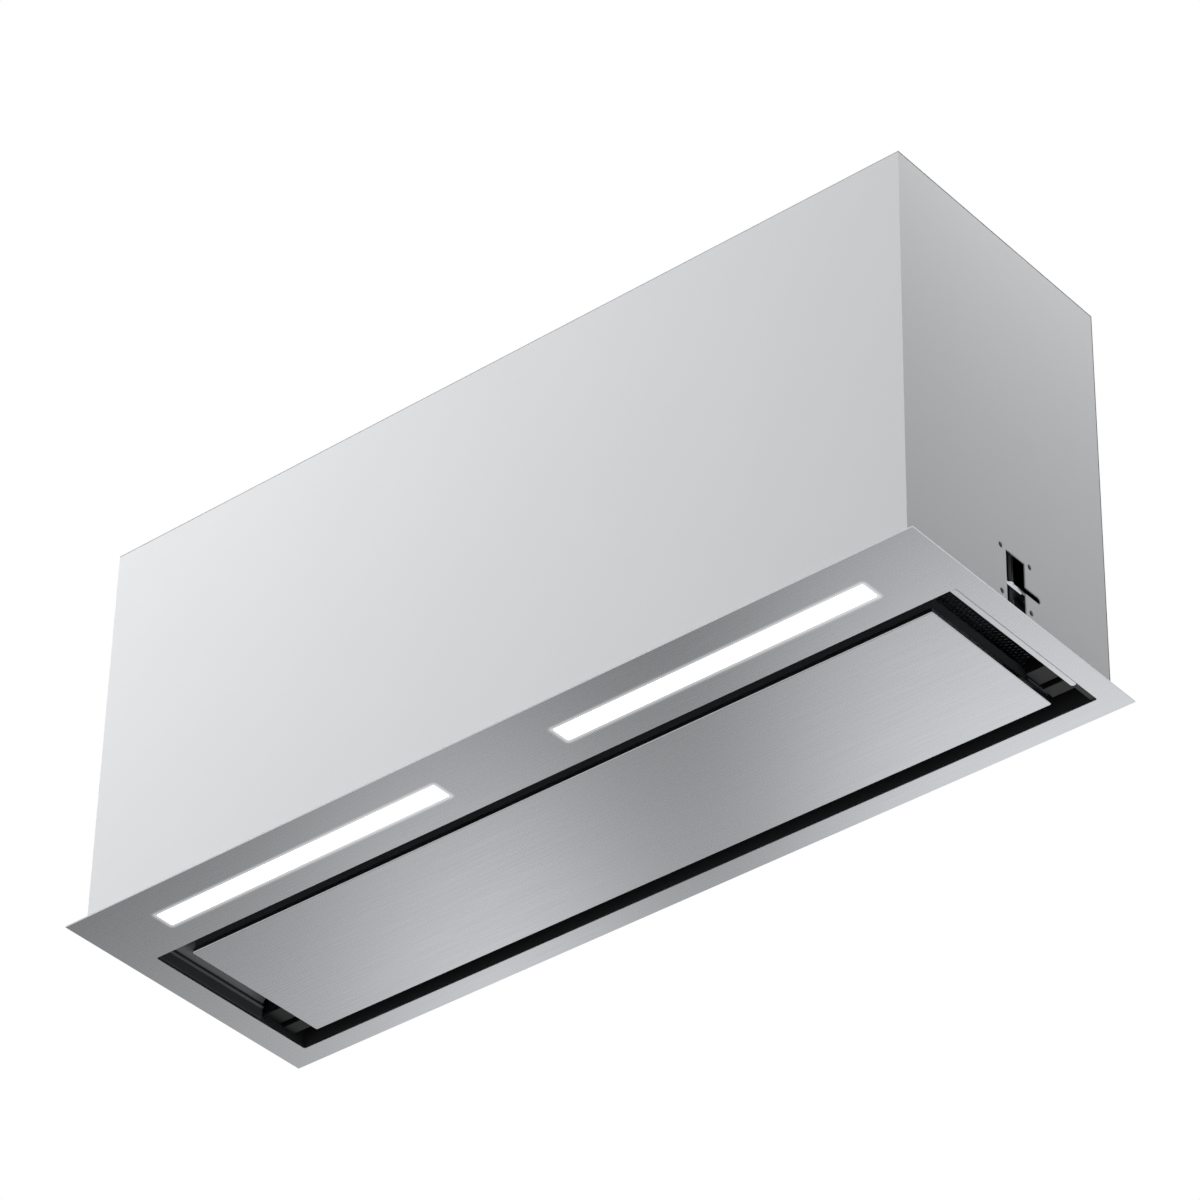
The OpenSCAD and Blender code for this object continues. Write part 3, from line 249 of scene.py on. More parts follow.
def smooth(obj, angle=35):
    """Smooth shading up to an angle, with flat faces kept flat right up to their rounded edges."""
    only(obj)
    bpy.ops.object.shade_smooth_by_angle(angle=math.radians(angle))
    modify(obj, "flat", "WEIGHTED_NORMAL", weight=100, keep_sharp=True)
    apply_all(obj)


def modify(obj, name, kind, **settings):
    """Adds a modifier with its settings."""
    modifier = obj.modifiers.new(name, kind)
    for key, value in settings.items():
        setattr(modifier, key, value)


def apply_all(obj):
    """Applies an object's modifiers in their order."""
    only(obj)
    for modifier in list(obj.modifiers):
        bpy.ops.object.modifier_apply(modifier=modifier.name)


def fit_out(obj, body, slot, *nodes, finish=None):
    """Gives a piece its finish, named or else its slot's, and its body, and hides the CAD nodes that it
    stands for.
    """
    obj.data.materials.clear()
    obj.data.materials.append(FINISHES[finish or slot])
    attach(obj, body)
    if nodes:
        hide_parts(*nodes)


# Finishes

FINISHES = {}


def add(tree, kind, inputs=(), **settings):
    """Adds a shader node with its settings, each input given a plain value or the socket that feeds it."""
    node = tree.nodes.new(f"ShaderNode{kind}")
    for key, value in settings.items():
        setattr(node, key, value)
    for key, value in dict(inputs).items():
        if isinstance(value, bpy.types.NodeSocket):
            tree.links.new(value, node.inputs[key])
        else:
            node.inputs[key].default_value = value
    return node


def maths(tree, operation, *inputs, vector=False):
    """Adds a maths node on values or sockets, in their order, and gives the socket of its result."""
    node = add(tree, "VectorMath" if vector else "Math", enumerate(inputs), operation=operation)
    number = not vector or operation in ("LENGTH", "DOT_PRODUCT")
    return node.outputs["Value" if number else "Vector"]


def base(name, colour, **sockets):
    """A new material's tree and Principled shader, with its colour and its plain socket values."""
    material = FINISHES[name] = bpy.data.materials.new(name)
    material.use_nodes = True
    material.diffuse_color = (*colour, 1)
    shader = material.node_tree.nodes["Principled BSDF"]
    shader.inputs["Base Color"].default_value = (*colour, 1)
    for key, value in sockets.items():
        shader.inputs[key.replace("_", " ")].default_value = value
    return material.node_tree, shader


def pattern(tree, size, detail=2.0, stretch=(1, 1, 1), kind="Noise", **inputs):
    """A texture on Object coordinates, with cells of size metres stretched along each axis."""
    place = add(tree, "TexCoord").outputs["Object"]
    shaped = add(tree, "Mapping", {
        "Vector": place, "Scale": tuple(1 / (size * s) for s in stretch)})
    values = {"Vector": shaped.outputs["Vector"], "Scale": 1.0, **inputs}
    if kind == "Noise":
        values["Detail"] = detail
    node = add(tree, f"Tex{kind}", values)
    return node.outputs["Color" if kind == "Voronoi" else "Fac"]


def tint(tree, shader, colour, factor, low, high):
    """Drives the base colour between a darker and a lighter share of one colour."""
    darker, lighter = (*(c * low for c in colour), 1), (*(min(1, c * high) for c in colour), 1)
    mix = add(tree, "Mix", {"Factor": factor, "A": darker, "B": lighter}, data_type="RGBA")
    tree.links.new(mix.outputs["Result"], shader.inputs["Base Color"])
    return mix.outputs["Result"]


def spread(tree, shader, factor, low, high):
    """Drives the roughness between two values."""
    ramp = add(tree, "MapRange", {"Value": factor, "To Min": low, "To Max": high})
    tree.links.new(ramp.outputs["Result"], shader.inputs["Roughness"])


def relief(tree, shader, factor, strength, depth):
    """Bumps the surface by a pattern of a real depth in metres."""
    bump = add(tree, "Bump", {"Height": factor, "Strength": strength, "Distance": depth})
    tree.links.new(bump.outputs["Normal"], shader.inputs["Normal"])


def brushed_stainless(name, colour, rough, contrast, glow=None):
    """Austenitic stainless sheet, belt brushed along X. Grooves about 0.3 mm apart and 60 mm long are
    drawn 0.9 mm apart, because finer ones vanish at this size. They give a satin sheen that spreads
    across the grain and a faint streaky tone."""
    tree, shader = base(name, colour, Metallic=1.0, Anisotropic=0.6, Anisotropic_Rotation=0.25)
    grain = pattern(tree, MM, 3.0, (60, 0.9, 0.9))
    cloud = pattern(tree, 0.11, 2.0, (3.0, 1.0, 1.0))
    half = maths(tree, "MULTIPLY", maths(tree, "ADD", grain, cloud), 0.5)
    tint(tree, shader, colour, half, 1 - contrast, 1 + contrast)
    spread(tree, shader, grain, rough - 0.05, rough + 0.07)
    relief(tree, shader, grain, 0.05, 0.02 * MM)
    along = add(tree, "CombineXYZ", {"X": 1.0})
    tree.links.new(along.outputs["Vector"], shader.inputs["Tangent"])
    # Painted light: the steel glows by emission beside the light strips
    if glow:
        strip_glow(tree, shader, *glow)


def strip_glow(tree, shader, boxes, reach, strength):
    """Painted light: emission on the steel beside a strip's cover, standing in for the light that scatters
    onto it, fading over a few millimetres.
    """
    place = add(tree, "TexCoord").outputs["Object"]
    gaps = []
    for low, high in boxes:
        middle, half = (low + high) / 2, (high - low) / 2
        moved = maths(tree, "SUBTRACT", place, tuple(middle), vector=True)
        folded = maths(tree, "ABSOLUTE", moved, vector=True)
        past = maths(tree, "SUBTRACT", folded, (half.x, half.y, 1.0), vector=True)
        outside = maths(tree, "MAXIMUM", past, (0, 0, 0), vector=True)
        gaps.append(maths(tree, "LENGTH", outside, vector=True))
    nearest = maths(tree, "MINIMUM", *gaps)
    fade = add(tree, "MapRange", {
        "Value": nearest, "From Min": 0.0, "From Max": reach, "To Min": strength, "To Max": 0.0},
        interpolation_type="SMOOTHERSTEP")
    shader.inputs["Emission Color"].default_value = WHITE
    tree.links.new(fade.outputs["Result"], shader.inputs["Emission Strength"])


def coated_sheet(name, colour):
    """Coil coated steel sheet: a thin satin paint with a faint orange peel about 2 mm across and a very
    slight cloudiness, which keeps a large flat face from looking like paper."""
    tree, shader = base(name, colour)
    cloud = pattern(tree, 0.14, 3.0)
    peel = pattern(tree, 2.0 * MM, 1.0)
    tint(tree, shader, colour, cloud, 0.975, 1.02)
    spread(tree, shader, cloud, 0.38, 0.47)
    relief(tree, shader, peel, 0.05, 0.02 * MM)


def galvanised(name, colour):
    """Hot dip galvanised sheet, skin passed: flattened zinc crystals about 6 mm across show as faint
    patches of lighter and darker, smoother and rougher grey. Its ends are sheared after the dip, so
    their cut edges are bare, dull steel and read as thin dark lines round the casing's ends."""
    bare_steel = linear("#3C3E41")
    tree, shader = base(name, colour, Metallic=0.85)
    spangle = pattern(tree, 6.0 * MM, kind="Voronoi")
    cloud = pattern(tree, 0.05, 3.0)
    bright = add(tree, "SeparateColor", {"Color": spangle}).outputs["Red"]
    shade = tint(tree, shader, colour, maths(tree, "MULTIPLY", bright, cloud), 0.93, 1.05)
    spread(tree, shader, bright, 0.42, 0.54)
    face = add(tree, "NewGeometry").outputs["True Normal"]
    facing = add(tree, "SeparateXYZ", {"Vector": face}).outputs["X"]
    cut = maths(tree, "GREATER_THAN", maths(tree, "ABSOLUTE", facing), 0.7)
    edge = add(tree, "Mix", {"Factor": cut, "A": shade, "B": (*bare_steel, 1)}, data_type="RGBA")
    tree.links.new(edge.outputs["Result"], shader.inputs["Base Color"])


def powder_coat(name, colour, rough, sheen=0.5):
    """Polyester powder coat: a fine, even pebble about 1 mm across that breaks up the highlights. With
    little sheen it gives back less of its surroundings, so the gap round the panel stays dark."""
    tree, shader = base(name, colour, Specular_IOR_Level=sheen)
    pebble = pattern(tree, 1.1 * MM)
    tint(tree, shader, colour, pebble, 0.85, 1.15)
    spread(tree, shader, pebble, rough - 0.05, rough + 0.08)
    relief(tree, shader, pebble, 0.08, 0.03 * MM)


def plated(name, colour, rough):
    """Zinc plated steel: bright, with small cloudy patches and fine scratches from handling."""
    tree, shader = base(name, colour, Metallic=1.0)
    cloud = pattern(tree, 5 * MM, 4.0)
    scratch = pattern(tree, MM, 2.0, (0.3, 12, 6))
    tint(tree, shader, colour, cloud, 0.88, 1.06)
    spread(tree, shader, scratch, rough - 0.08, rough + 0.14)


def rolled_aluminium(name, colour):
    """Mill finish aluminium: soft and satin, with faint drawing lines left by the rolls or the die."""
    tree, shader = base(name, colour, Metallic=1.0)
    lines = pattern(tree, MM, 3.0, (20, 0.8, 0.8))
    tint(tree, shader, colour, lines, 0.92, 1.05)
    spread(tree, shader, lines, 0.34, 0.5)
    relief(tree, shader, lines, 0.1, 0.02 * MM)


def die_cast(name, colour):
    """Die cast aluminium: matt and slightly pitted, with a mottled skin about 2 mm across."""
    tree, shader = base(name, colour, Metallic=0.9)
    skin = pattern(tree, 2 * MM, 4.0)
    tint(tree, shader, colour, skin, 0.85, 1.1)
    spread(tree, shader, skin, 0.45, 0.62)
    relief(tree, shader, skin, 0.25, 0.08 * MM)


def moulded(name, colour, rough):
    """Injection moulded ABS or polypropylene with a spark eroded grain about 0.8 mm across."""
    tree, shader = base(name, colour)
    grain = pattern(tree, 0.8 * MM)
    cloud = pattern(tree, 0.06)
    tint(tree, shader, colour, cloud, 0.94, 1.06)
    spread(tree, shader, grain, rough - 0.06, rough + 0.08)
    relief(tree, shader, grain, 0.15, 0.04 * MM)


def rubber(name, colour):
    """Nitrile rubber: dull black with a powdery bloom."""
    tree, shader = base(name, colour, IOR=1.52)
    bloom = pattern(tree, 3 * MM, 4.0)
    tint(tree, shader, colour, bloom, 0.8, 1.5)
    spread(tree, shader, bloom, 0.72, 0.88)


def circuit_board(name, colour):
    """Glass fibre board under solder resist: straight copper tracks show as lighter bands."""
    tree, shader = base(name, colour, Coat_Weight=0.3)
    tracks = pattern(tree, 5 * MM, kind="Brick", **{"Mortar Size": 0.06})
    fibre = pattern(tree, 0.8 * MM, 1.0)
    tint(tree, shader, colour, tracks, 0.9, 1.5)
    spread(tree, shader, fibre, 0.3, 0.42)


def opal_cover(name, colour, strength):
    """Opal acrylic lit from behind: the diodes are hidden, and the cover glows evenly right to its edges,
    but for a faint haze."""
    tree, shader = base(name, colour, Roughness=0.35, IOR=1.49)
    haze = pattern(tree, 12 * MM, 1.0)
    level = add(tree, "MapRange", {
        "Value": haze, "To Min": strength * 0.97, "To Max": strength * 1.03})
    shader.inputs["Emission Color"].default_value = (*colour, 1)
    tree.links.new(level.outputs["Result"], shader.inputs["Emission Strength"])


# Operators


class HOOD_OT_finishes(bpy.types.Operator):
    """Makes every finish and gives the CAD nodes theirs, by the record's material slots."""

    bl_idname = "hood.finishes"
    bl_label = "Make the finishes"

    # How far the painted glow of the strips reaches on the flange, and its strength right beside them
    painted_glow_reach = 6.0 * MM
    painted_glow_strength = 0.36
    # Each one's maker, name and colour, then its roughness and sheen where the maker takes them
    plain = (
        (galvanised, "galvanised_sheet", "#B4B7BA"),
        (powder_coat, "dark_paint", "#46484B", 0.4),
        (powder_coat, "bracket_paint", "#1B1C1D", 0.42, 0.25),
        (powder_coat, "clamp_paint", "#9A9C9F", 0.45),
        (powder_coat, "wall_rail_paint", "#58595C", 0.35),
        # The lip's paint is much lighter than the rail's: painted light on its down-facing flare
        (powder_coat, "wall_lip_paint", "#A6A8AB", 0.35),
        (plated, "zinc_steel", "#C9CBD0", 0.28),
        (plated, "dark_steel", "#3E3F42", 0.36),
        # Darker than bare aluminium: partly painted shade, so the filters stay dark in the gap round the
        # panel
        (rolled_aluminium, "filter_aluminium", "#74767A"),
        (rolled_aluminium, "trough_aluminium", "#C4C6C8"),
        (die_cast, "cast_motor", "#96989B"),
        (circuit_board, "green_board", "#1C5A38"),
        (moulded, "white_board", "#EDEDE4", 0.42),
        (moulded, "white_plastic", "#E4E3DD", 0.45),
        (moulded, "grey_plastic", "#393B3E", 0.5),
        (moulded, "wheel_plastic", "#55575B", 0.48),
        (moulded, "black_plastic", "#161617", 0.46),
        (rubber, "black_rubber", "#101010"),
    )
    # Nodes with a paint of their own, in place of their record slot's
    own = {
        "panel_backing": "tray_paint",
        "hinge_bracket_left": "bracket_paint",
        "hinge_bracket_right": "bracket_paint",
        "clamp_bracket_left": "clamp_paint",
        "clamp_bracket_right": "clamp_paint",
    }

    def execute(self, context):
        colours = context.scene.hood_colours
        steel = tuple(colours.steel)
        step = Vector((LENS_STEP, LENS_STEP, 0))
        strips = [span(f"led_lens_{side}") for side in SIDES]
        lit = [(low + step, high - step) for low, high in strips]
        brushed_stainless("brushed_flange", steel, 0.26, 0.018, (lit, self.painted_glow_reach, self.painted_glow_strength))
        brushed_stainless("brushed_panel", steel, 0.26, 0.018)
        brushed_stainless("brushed_trim", tuple(colours.trim), 0.3, 0.02)
        coated_sheet("casing_sheet", tuple(colours.casing))
        powder_coat("black_paint", tuple(colours.recess), 0.45, 0.25)
        powder_coat("tray_paint", tuple(colours.tray), 0.4)
        opal_cover("light_cover", tuple(colours.light), context.scene.hood_studio.strip_glow)
        for make, name, code, *values in self.plain:
            make(name, linear(code), *values)
        for row in frame["record"]["subparts"]:
            for place in frame["nodes"][row["node"]].material_slots:
                place.material = FINISHES[self.own.get(row["node"], row["material_slot"])]
        return {"FINISHED"}


class HOOD_OT_edges(bpy.types.Operator):
    """Rounds the edges of the CAD nodes that stay, as deburred sheet or as a moulding."""

    bl_idname = "hood.edges"
    bl_label = "Round the edges"

    sheet = ("casing_shell", "casing_back", "casing_top", "recess_frame", "filter_divider", "end_trim",
             "panel_backing", "panel_hinge_arms", "hinge_bracket_left", "hinge_bracket_right",
             "magnet_strikes", "clamp_bracket_left", "clamp_bracket_right", "control_box",
             "control_box_lid", "blower_strap", "clamp_nut_left", "clamp_nut_right", "clamp_arm_left",
             "clamp_arm_right", "filter_frame_left", "filter_frame_right", "motor_bracket")
    mould = ("filter_latch_left", "filter_latch_right", "panel_magnets", "outlet_collar",
             "damper_flap_front", "damper_flap_back", "scroll_left", "scroll_right", "led_driver",
             "terminal_block", "motor_capacitor")

    def execute(self, context):
        sizes = context.scene.hood_sizes
        for names, width in ((self.sheet, sizes.sheet_edge), (self.mould, sizes.moulded_edge)):
            for name in names:
                self.soften(frame["nodes"][name], width)
        return {"FINISHED"}

    def soften(self, node, width):
        """Welds the CAD mesh, merges its flat faces and bevels its sharp edges, all by modifiers."""
        modify(node, "weld", "WELD", merge_threshold=0.01 * MM)
        modify(node, "flat", "DECIMATE", decimate_type="DISSOLVE", angle_limit=math.radians(1))
        modify(node, "edge", "BEVEL", width=width, segments=2, limit_method="ANGLE",
               angle_limit=math.radians(40))
        modify(node, "even", "WEIGHTED_NORMAL", weight=100, keep_sharp=True)


class HOOD_OT_flange(bpy.types.Operator):
    """The flange: one brushed sheet with the opening and the two light slots cut out, edges deburred."""

    bl_idname = "hood.flange"
    bl_label = "Flange"

    # Play round a light cover, seam beside the trim strip and corner radius of the opening and slots
    fit = 0.2 * MM
    seam = 0.5 * MM
    window_corner = 1.6 * MM

    def execute(self, context):
        low, high = span("flange_frame")
        recess_low, recess_high = span("recess_frame")
        windows = [(recess_low.x + RECESS_FOOT, recess_low.y + RECESS_FOOT,
                    span("end_trim")[1].x + self.seam, recess_high.y - RECESS_FOOT)]
        step = LENS_STEP - self.fit
        for side in SIDES:
            lens_low, lens_high = span(f"led_lens_{side}")
            windows.append((lens_low.x + step, lens_low.y + step, lens_high.x - step, lens_high.y - step))
        wide, deep, thick = high - low
        obj = begin("flange_plate", bpy.ops.mesh.primitive_plane_add, (wide, deep, 1), size=1,
                    location=((low.x + high.x) / 2, (low.y + high.y) / 2, low.z))
        for x0, y0, x1, y1 in windows:
            for x in (x0, x1):
                slice_at((x, 0, 0), (1, 0, 0))
            for y in (y0, y1):
                slice_at((0, y, 0), (0, 1, 0))
        pick(obj, "FACE", lambda mid, face: any(
            x0 < mid.x < x1 and y0 < mid.y < y1 for x0, y0, x1, y1 in windows))
        bpy.ops.mesh.delete(type="FACE")
        bpy.ops.mesh.select_all(action="SELECT")
        extrude(thick)
        outward()
        # The flange's own four corners stay square
        inner = high - Vector((MM, MM, 0))
        round_edges(obj, self.window_corner, 4, lambda mid, edge: (
            upright(edge) and abs(mid.x) < inner.x and abs(mid.y) < inner.y))
        edge_round = context.scene.hood_sizes.sheet_edge
        round_edges(obj, edge_round, 2, lambda mid, edge: not upright(edge))
        close_piece(obj)
        fit_out(obj, "hood", "brushed_flange", "flange_frame")
        return {"FINISHED"}


class HOOD_OT_panel(bpy.types.Operator):
    """The suction panel: a brushed sheet with soft bends and edges turned up all round."""

    bl_idname = "hood.panel"
    bl_label = "Suction panel"

    thickness = 1.0 * MM

    def execute(self, context):
        sizes = context.scene.hood_sizes
        low, high = span("suction_panel")
        obj = block_piece("panel_sheet", low, high)
        pick(obj, "FACE", lambda mid, face: mid.z > high.z - NEAR)
        bpy.ops.mesh.delete(type="FACE")
        round_edges(obj, sizes.panel_corner, 4, lambda mid, edge: upright(edge))
        round_edges(obj, sizes.panel_edge, 4, lambda mid, edge: mid.z < low.z + NEAR)
        outward()
        bpy.ops.object.mode_set(mode="OBJECT")
        modify(obj, "wall", "SOLIDIFY", thickness=self.thickness, offset=-1, use_even_offset=True)
        apply_all(obj)
        bpy.ops.object.mode_set(mode="EDIT")
        close_piece(obj)
        fit_out(obj, "panel", "brushed_panel", "suction_panel")
        return {"FINISHED"}


class HOOD_OT_light_covers(bpy.types.Operator):
    """The two opal light covers, stepped over the flange and rounded along their lit face."""

    bl_idname = "hood.light_covers"
    bl_label = "Light covers"

    corner_round = 0.8 * MM
    face_round = 0.35 * MM

    def execute(self, context):
        top = span("flange_frame")[1].z
        for side in SIDES:
            low, high = span(f"led_lens_{side}")
            obj = block_piece(f"light_cover_{side}", (low.x, low.y, top), high)
            pick(obj, "FACE", lambda mid, face: mid.z < top + NEAR)
            bpy.ops.mesh.inset(thickness=LENS_STEP, depth=0)
            extrude(low.z - top)
            round_edges(obj, self.corner_round, 3, lambda mid, edge: upright(edge))
            round_edges(obj, self.face_round, 3, lambda mid, edge: mid.z < low.z + NEAR)
            close_piece(obj)
            fit_out(obj, "hood", "light_cover", f"led_lens_{side}")
        return {"FINISHED"}


class HOOD_OT_filter_meshes(bpy.types.Operator):
    """Expanded aluminium mesh over each grease filter's lower face, inside its frame."""

    bl_idname = "hood.filter_meshes"
    bl_label = "Filter meshes"

    # Width of the filter's rim, an opening's width for its length, and the gap below the core
    rim = 9.0 * MM
    squat = 0.55
    gap = 0.5 * MM

    def execute(self, context):
        sizes = context.scene.hood_sizes
        for side in SIDES:
            low, high = span(f"filter_frame_{side}")
            middle = (low + high) / 2
            middle.z = span(f"filter_core_{side}")[0].z - self.gap
            wide, deep = high.x - low.x - 2 * self.rim, high.y - low.y - 2 * self.rim
            obj = begin(f"filter_mesh_{side}", bpy.ops.mesh.primitive_grid_add, (wide, deep, 1), size=1,
                        x_subdivisions=round(wide / sizes.mesh_pitch),
                        y_subdivisions=round(deep / (self.squat * sizes.mesh_pitch)), location=middle)
            bpy.ops.mesh.select_all(action="SELECT")
            bpy.ops.mesh.poke()
            pick(obj, "EDGE", lambda mid, edge: not edge.is_boundary and self.square(edge))
            bpy.ops.mesh.dissolve_edges(use_verts=False)
            bpy.ops.object.mode_set(mode="OBJECT")
            modify(obj, "strands", "WIREFRAME", thickness=sizes.mesh_wire, use_even_offset=False,
                   use_boundary=True)
            apply_all(obj)
            bpy.ops.object.mode_set(mode="EDIT")
            close_piece(obj, 50)
            fit_out(obj, "hood", "filter_aluminium")
        return {"FINISHED"}

    def square(self, edge):
        """Whether an edge runs along X or Y."""
        line = edge.verts[0].co - edge.verts[1].co
        return min(abs(line.x), abs(line.y)) < 1e-6


class HOOD_OT_wall_rails(bpy.types.Operator):
    """On each end wall of the recess, a rail with one bead and above it a flared lip, the lip painted much
    lighter than the rail as painted light on its down-facing flare.
    """

    bl_idname = "hood.wall_rails"
    bl_label = "Wall rails"

    # Gap over the flange, gap before the hinge bracket and the thickness that a strip starts with
    lift = 1.1 * MM
    end_gap = 1.0 * MM
    thin = 1.0 * MM
    # Each strip's rows from below: height and thickness in millimetres
    rows = {
        "wall_rail": ((0.0, 1.0), (9.6, 1.0), (10.8, 2.8), (11.4, 2.8), (12.0, 1.0), (15.0, 1.0)),
        "wall_lip": ((15.2, 1.2), (18.5, 3.2), (22.0, 6.4), (30.0, 6.4)),
    }

    def execute(self, context):
        recess_low, recess_high = span("recess_frame")
        wall = recess_high.x - RECESS_FOOT
        bottom = span("flange_frame")[1].z + self.lift
        front, back = recess_low.y + RECESS_FOOT, span("hinge_bracket_right")[0].y - self.end_gap
        for name, rows in self.rows.items():
            levels = [bottom + height * MM for height, _ in rows]
            low, high = (wall - self.thin, front, levels[0]), (wall, back, levels[-1])
            rail = block_piece(f"{name}_right", low, high)
            for level in levels[1:-1]:
                slice_at((0, 0, level), (0, 0, 1))
            for level, (_, thick) in zip(levels, rows):
                pick(rail, "VERT", lambda mid, vert: (
                    mid.x < wall - self.thin / 2 and abs(mid.z - level) < NEAR))
                bpy.ops.transform.translate(value=(self.thin - thick * MM, 0, 0))
            close_piece(rail, 50)
            twin = copy_of(rail, f"{name}_left")
            twin.scale.x = -1
            settle(twin)
            bpy.ops.object.mode_set(mode="EDIT")
            close_piece(twin, 50)
            for obj in (rail, twin):
                fit_out(obj, "hood", "dark_paint", finish=f"{name}_paint")
        return {"FINISHED"}


class HOOD_OT_screw_heads(bpy.types.Operator):
    """Sixteen pan headed screws with a cross recess, round the back and the top of the casing."""

    bl_idname = "hood.screw_heads"
    bl_label = "Casing screws"

    total = 16
    head_r = 3.4 * MM
    head_h = 1.8 * MM
    head_round = 0.9 * MM
    shank_r = 1.6 * MM
    shank_len = 5 * MM
    slot_size = (3.8 * MM, 0.8 * MM, 2.0 * MM)

    def execute(self, context):
        places = self.places()
        if len(places) != self.total:
            raise RuntimeError(f"{self.total} casing screws were expected and {len(places)} were found")
        model = self.one_screw()
        screws = [copy_of(model, f"casing_screw_{number:02d}") for number in range(1, self.total)]
        model.name = model.data.name = f"casing_screw_{self.total}"
        for obj, (point, normal) in zip((*screws, model), places):
            turn = Vector((0, 0, 1)).rotation_difference(normal).to_matrix().to_4x4()
            obj.matrix_world = Matrix.Translation(point) @ turn
            settle(obj)
            fit_out(obj, "hood", "zinc_steel", "casing_screws")
        return {"FINISHED"}

    def places(self):
        """Each screw's place under its head and the way that the head looks, read from the CAD node."""
        source = bmesh.new()
        source.from_mesh(frame["nodes"]["casing_screws"].data)
        bmesh.ops.remove_doubles(source, verts=source.verts, dist=1e-6)
        seen, found = set(), []
        for first in source.verts:
            if first in seen:
                continue
            group, queue = [], [first]
            seen.add(first)
            while queue:
                vert = queue.pop()
                group.append(vert.co.copy())
                for edge in vert.link_edges:
                    other = edge.other_vert(vert)
                    if other not in seen:
                        seen.add(other)
                        queue.append(other)
            low, high = (Vector([end(p[i] for p in group) for i in range(3)]) for end in (min, max))
            middle = (low + high) / 2
            if high.y - low.y < high.z - low.z:
                normal, seat = Vector((0, 0, 1)), Vector((middle.x, middle.y, high.z - self.head_h))
            else:
                normal, seat = Vector((0, 1, 0)), Vector((middle.x, high.y - self.head_h, middle.z))
            found.append((seat, normal))
        source.free()
        return sorted(found, key=lambda item: tuple(round(c, 4) for c in item[0]))

    def one_screw(self):
        """A screw that stands on its head's seat, looking up."""
        obj = round_piece("casing_screw", 32, self.head_r, Vector(), 0, self.head_h)
        pick(obj, "FACE", lambda mid, face: mid.z < NEAR)
        bpy.ops.mesh.inset(thickness=self.head_r - self.shank_r, depth=0)
        extrude(-self.shank_len)
        round_edges(obj, self.head_round, 4, lambda mid, edge: mid.z > self.head_h - NEAR)
        close_piece(obj)
        for turn in (0, 90):
            slot = begin("slot", bpy.ops.mesh.primitive_cube_add, self.slot_size, size=1,
                         location=(0, 0, self.head_h), rotation=(0, 0, math.radians(turn)))
            bpy.ops.object.mode_set(mode="OBJECT")
            modify(obj, "slot", "BOOLEAN", operation="DIFFERENCE", solver="EXACT", object=slot)
            apply_all(obj)
            bpy.data.objects.remove(slot)
        smooth(obj)
        return obj


class HOOD_OT_clamp_screws(bpy.types.Operator):
    """The two clamp screws: a cut thread, and a six-sided head on a plain neck."""

    bl_idname = "hood.clamp_screws"
    bl_label = "Clamp screws"

    # Thread: its outer radius, its depth, the share of the pitch that its crest takes, steps in a turn
    outer = 2.0 * MM
    depth = 0.35 * MM
    crest = 0.2
    steps = 12
    # Distance from the thread's end to the head, and the neck's reach into the thread
    plain = 2.0 * MM
    reach = 0.4 * MM
    # Head: its corners' radius, its rounding and its step to the neck
    head_r = 4.0 * MM
    head_round = 0.35 * MM
    head_step = 1.8 * MM

    def execute(self, context):
        pitch = context.scene.hood_sizes.thread_pitch
        middle = Vector((self.outer - self.depth / 2, 0, pitch / 2))
        for side in SIDES:
            low, high = span(f"clamp_screw_{side}")
            seat = span(f"clamp_bracket_{side}")[1].z
            top = seat - self.plain
            obj = begin(f"clamp_screw_thread_{side}", bpy.ops.mesh.primitive_plane_add,
                        (self.depth, pitch, 1), size=1, location=middle, rotation=(math.radians(90), 0, 0))
            pick(obj, "VERT", lambda mid, vert: mid.x > middle.x)
            bpy.ops.transform.resize(value=(1, 1, self.crest), center_override=(self.outer, 0, pitch / 2))
            pick(obj, "EDGE", lambda mid, edge: mid.x < self.outer - self.depth + NEAR)
            bpy.ops.mesh.delete(type="EDGE")
            bpy.ops.object.mode_set(mode="OBJECT")
            modify(obj, "helix", "SCREW", axis="Z", angle=math.tau, screw_offset=pitch,
                   iterations=int((top - low.z) / pitch), steps=self.steps, render_steps=self.steps,
                   use_merge_vertices=True, merge_threshold=1e-6)
            apply_all(obj)
            obj.location = ((low.x + high.x) / 2, (low.y + high.y) / 2, low.z)
            settle(obj)
            bpy.ops.object.mode_set(mode="EDIT")
            pick(obj, "EDGE", lambda mid, edge: edge.is_boundary and mid.z < low.z + 2 * pitch)
            bpy.ops.mesh.edge_face_add()
            pick(obj, "EDGE", lambda mid, edge: edge.is_boundary)
            bpy.ops.mesh.edge_face_add()
            close_piece(obj, 25)
            fit_out(obj, f"screw_{side}", "dark_steel", f"clamp_screw_{side}")
            self.head(side, (low + high) / 2, top - self.reach, seat, high.z)
        return {"FINISHED"}

    def head(self, side, middle, foot, seat, top):
        """The head from its seat to its top, with the neck below it down to its foot."""
        obj = round_piece(f"clamp_screw_head_{side}", 6, self.head_r, middle, seat, top)
        round_edges(obj, self.head_round, 2, lambda mid, edge: mid.z > top - NEAR)
        pick(obj, "FACE", lambda mid, face: mid.z < seat + NEAR)
        bpy.ops.mesh.inset(thickness=self.head_step, depth=0)
        extrude(foot - seat)
        close_piece(obj)
        fit_out(obj, f"screw_{side}", "dark_steel", f"clamp_screw_{side}")


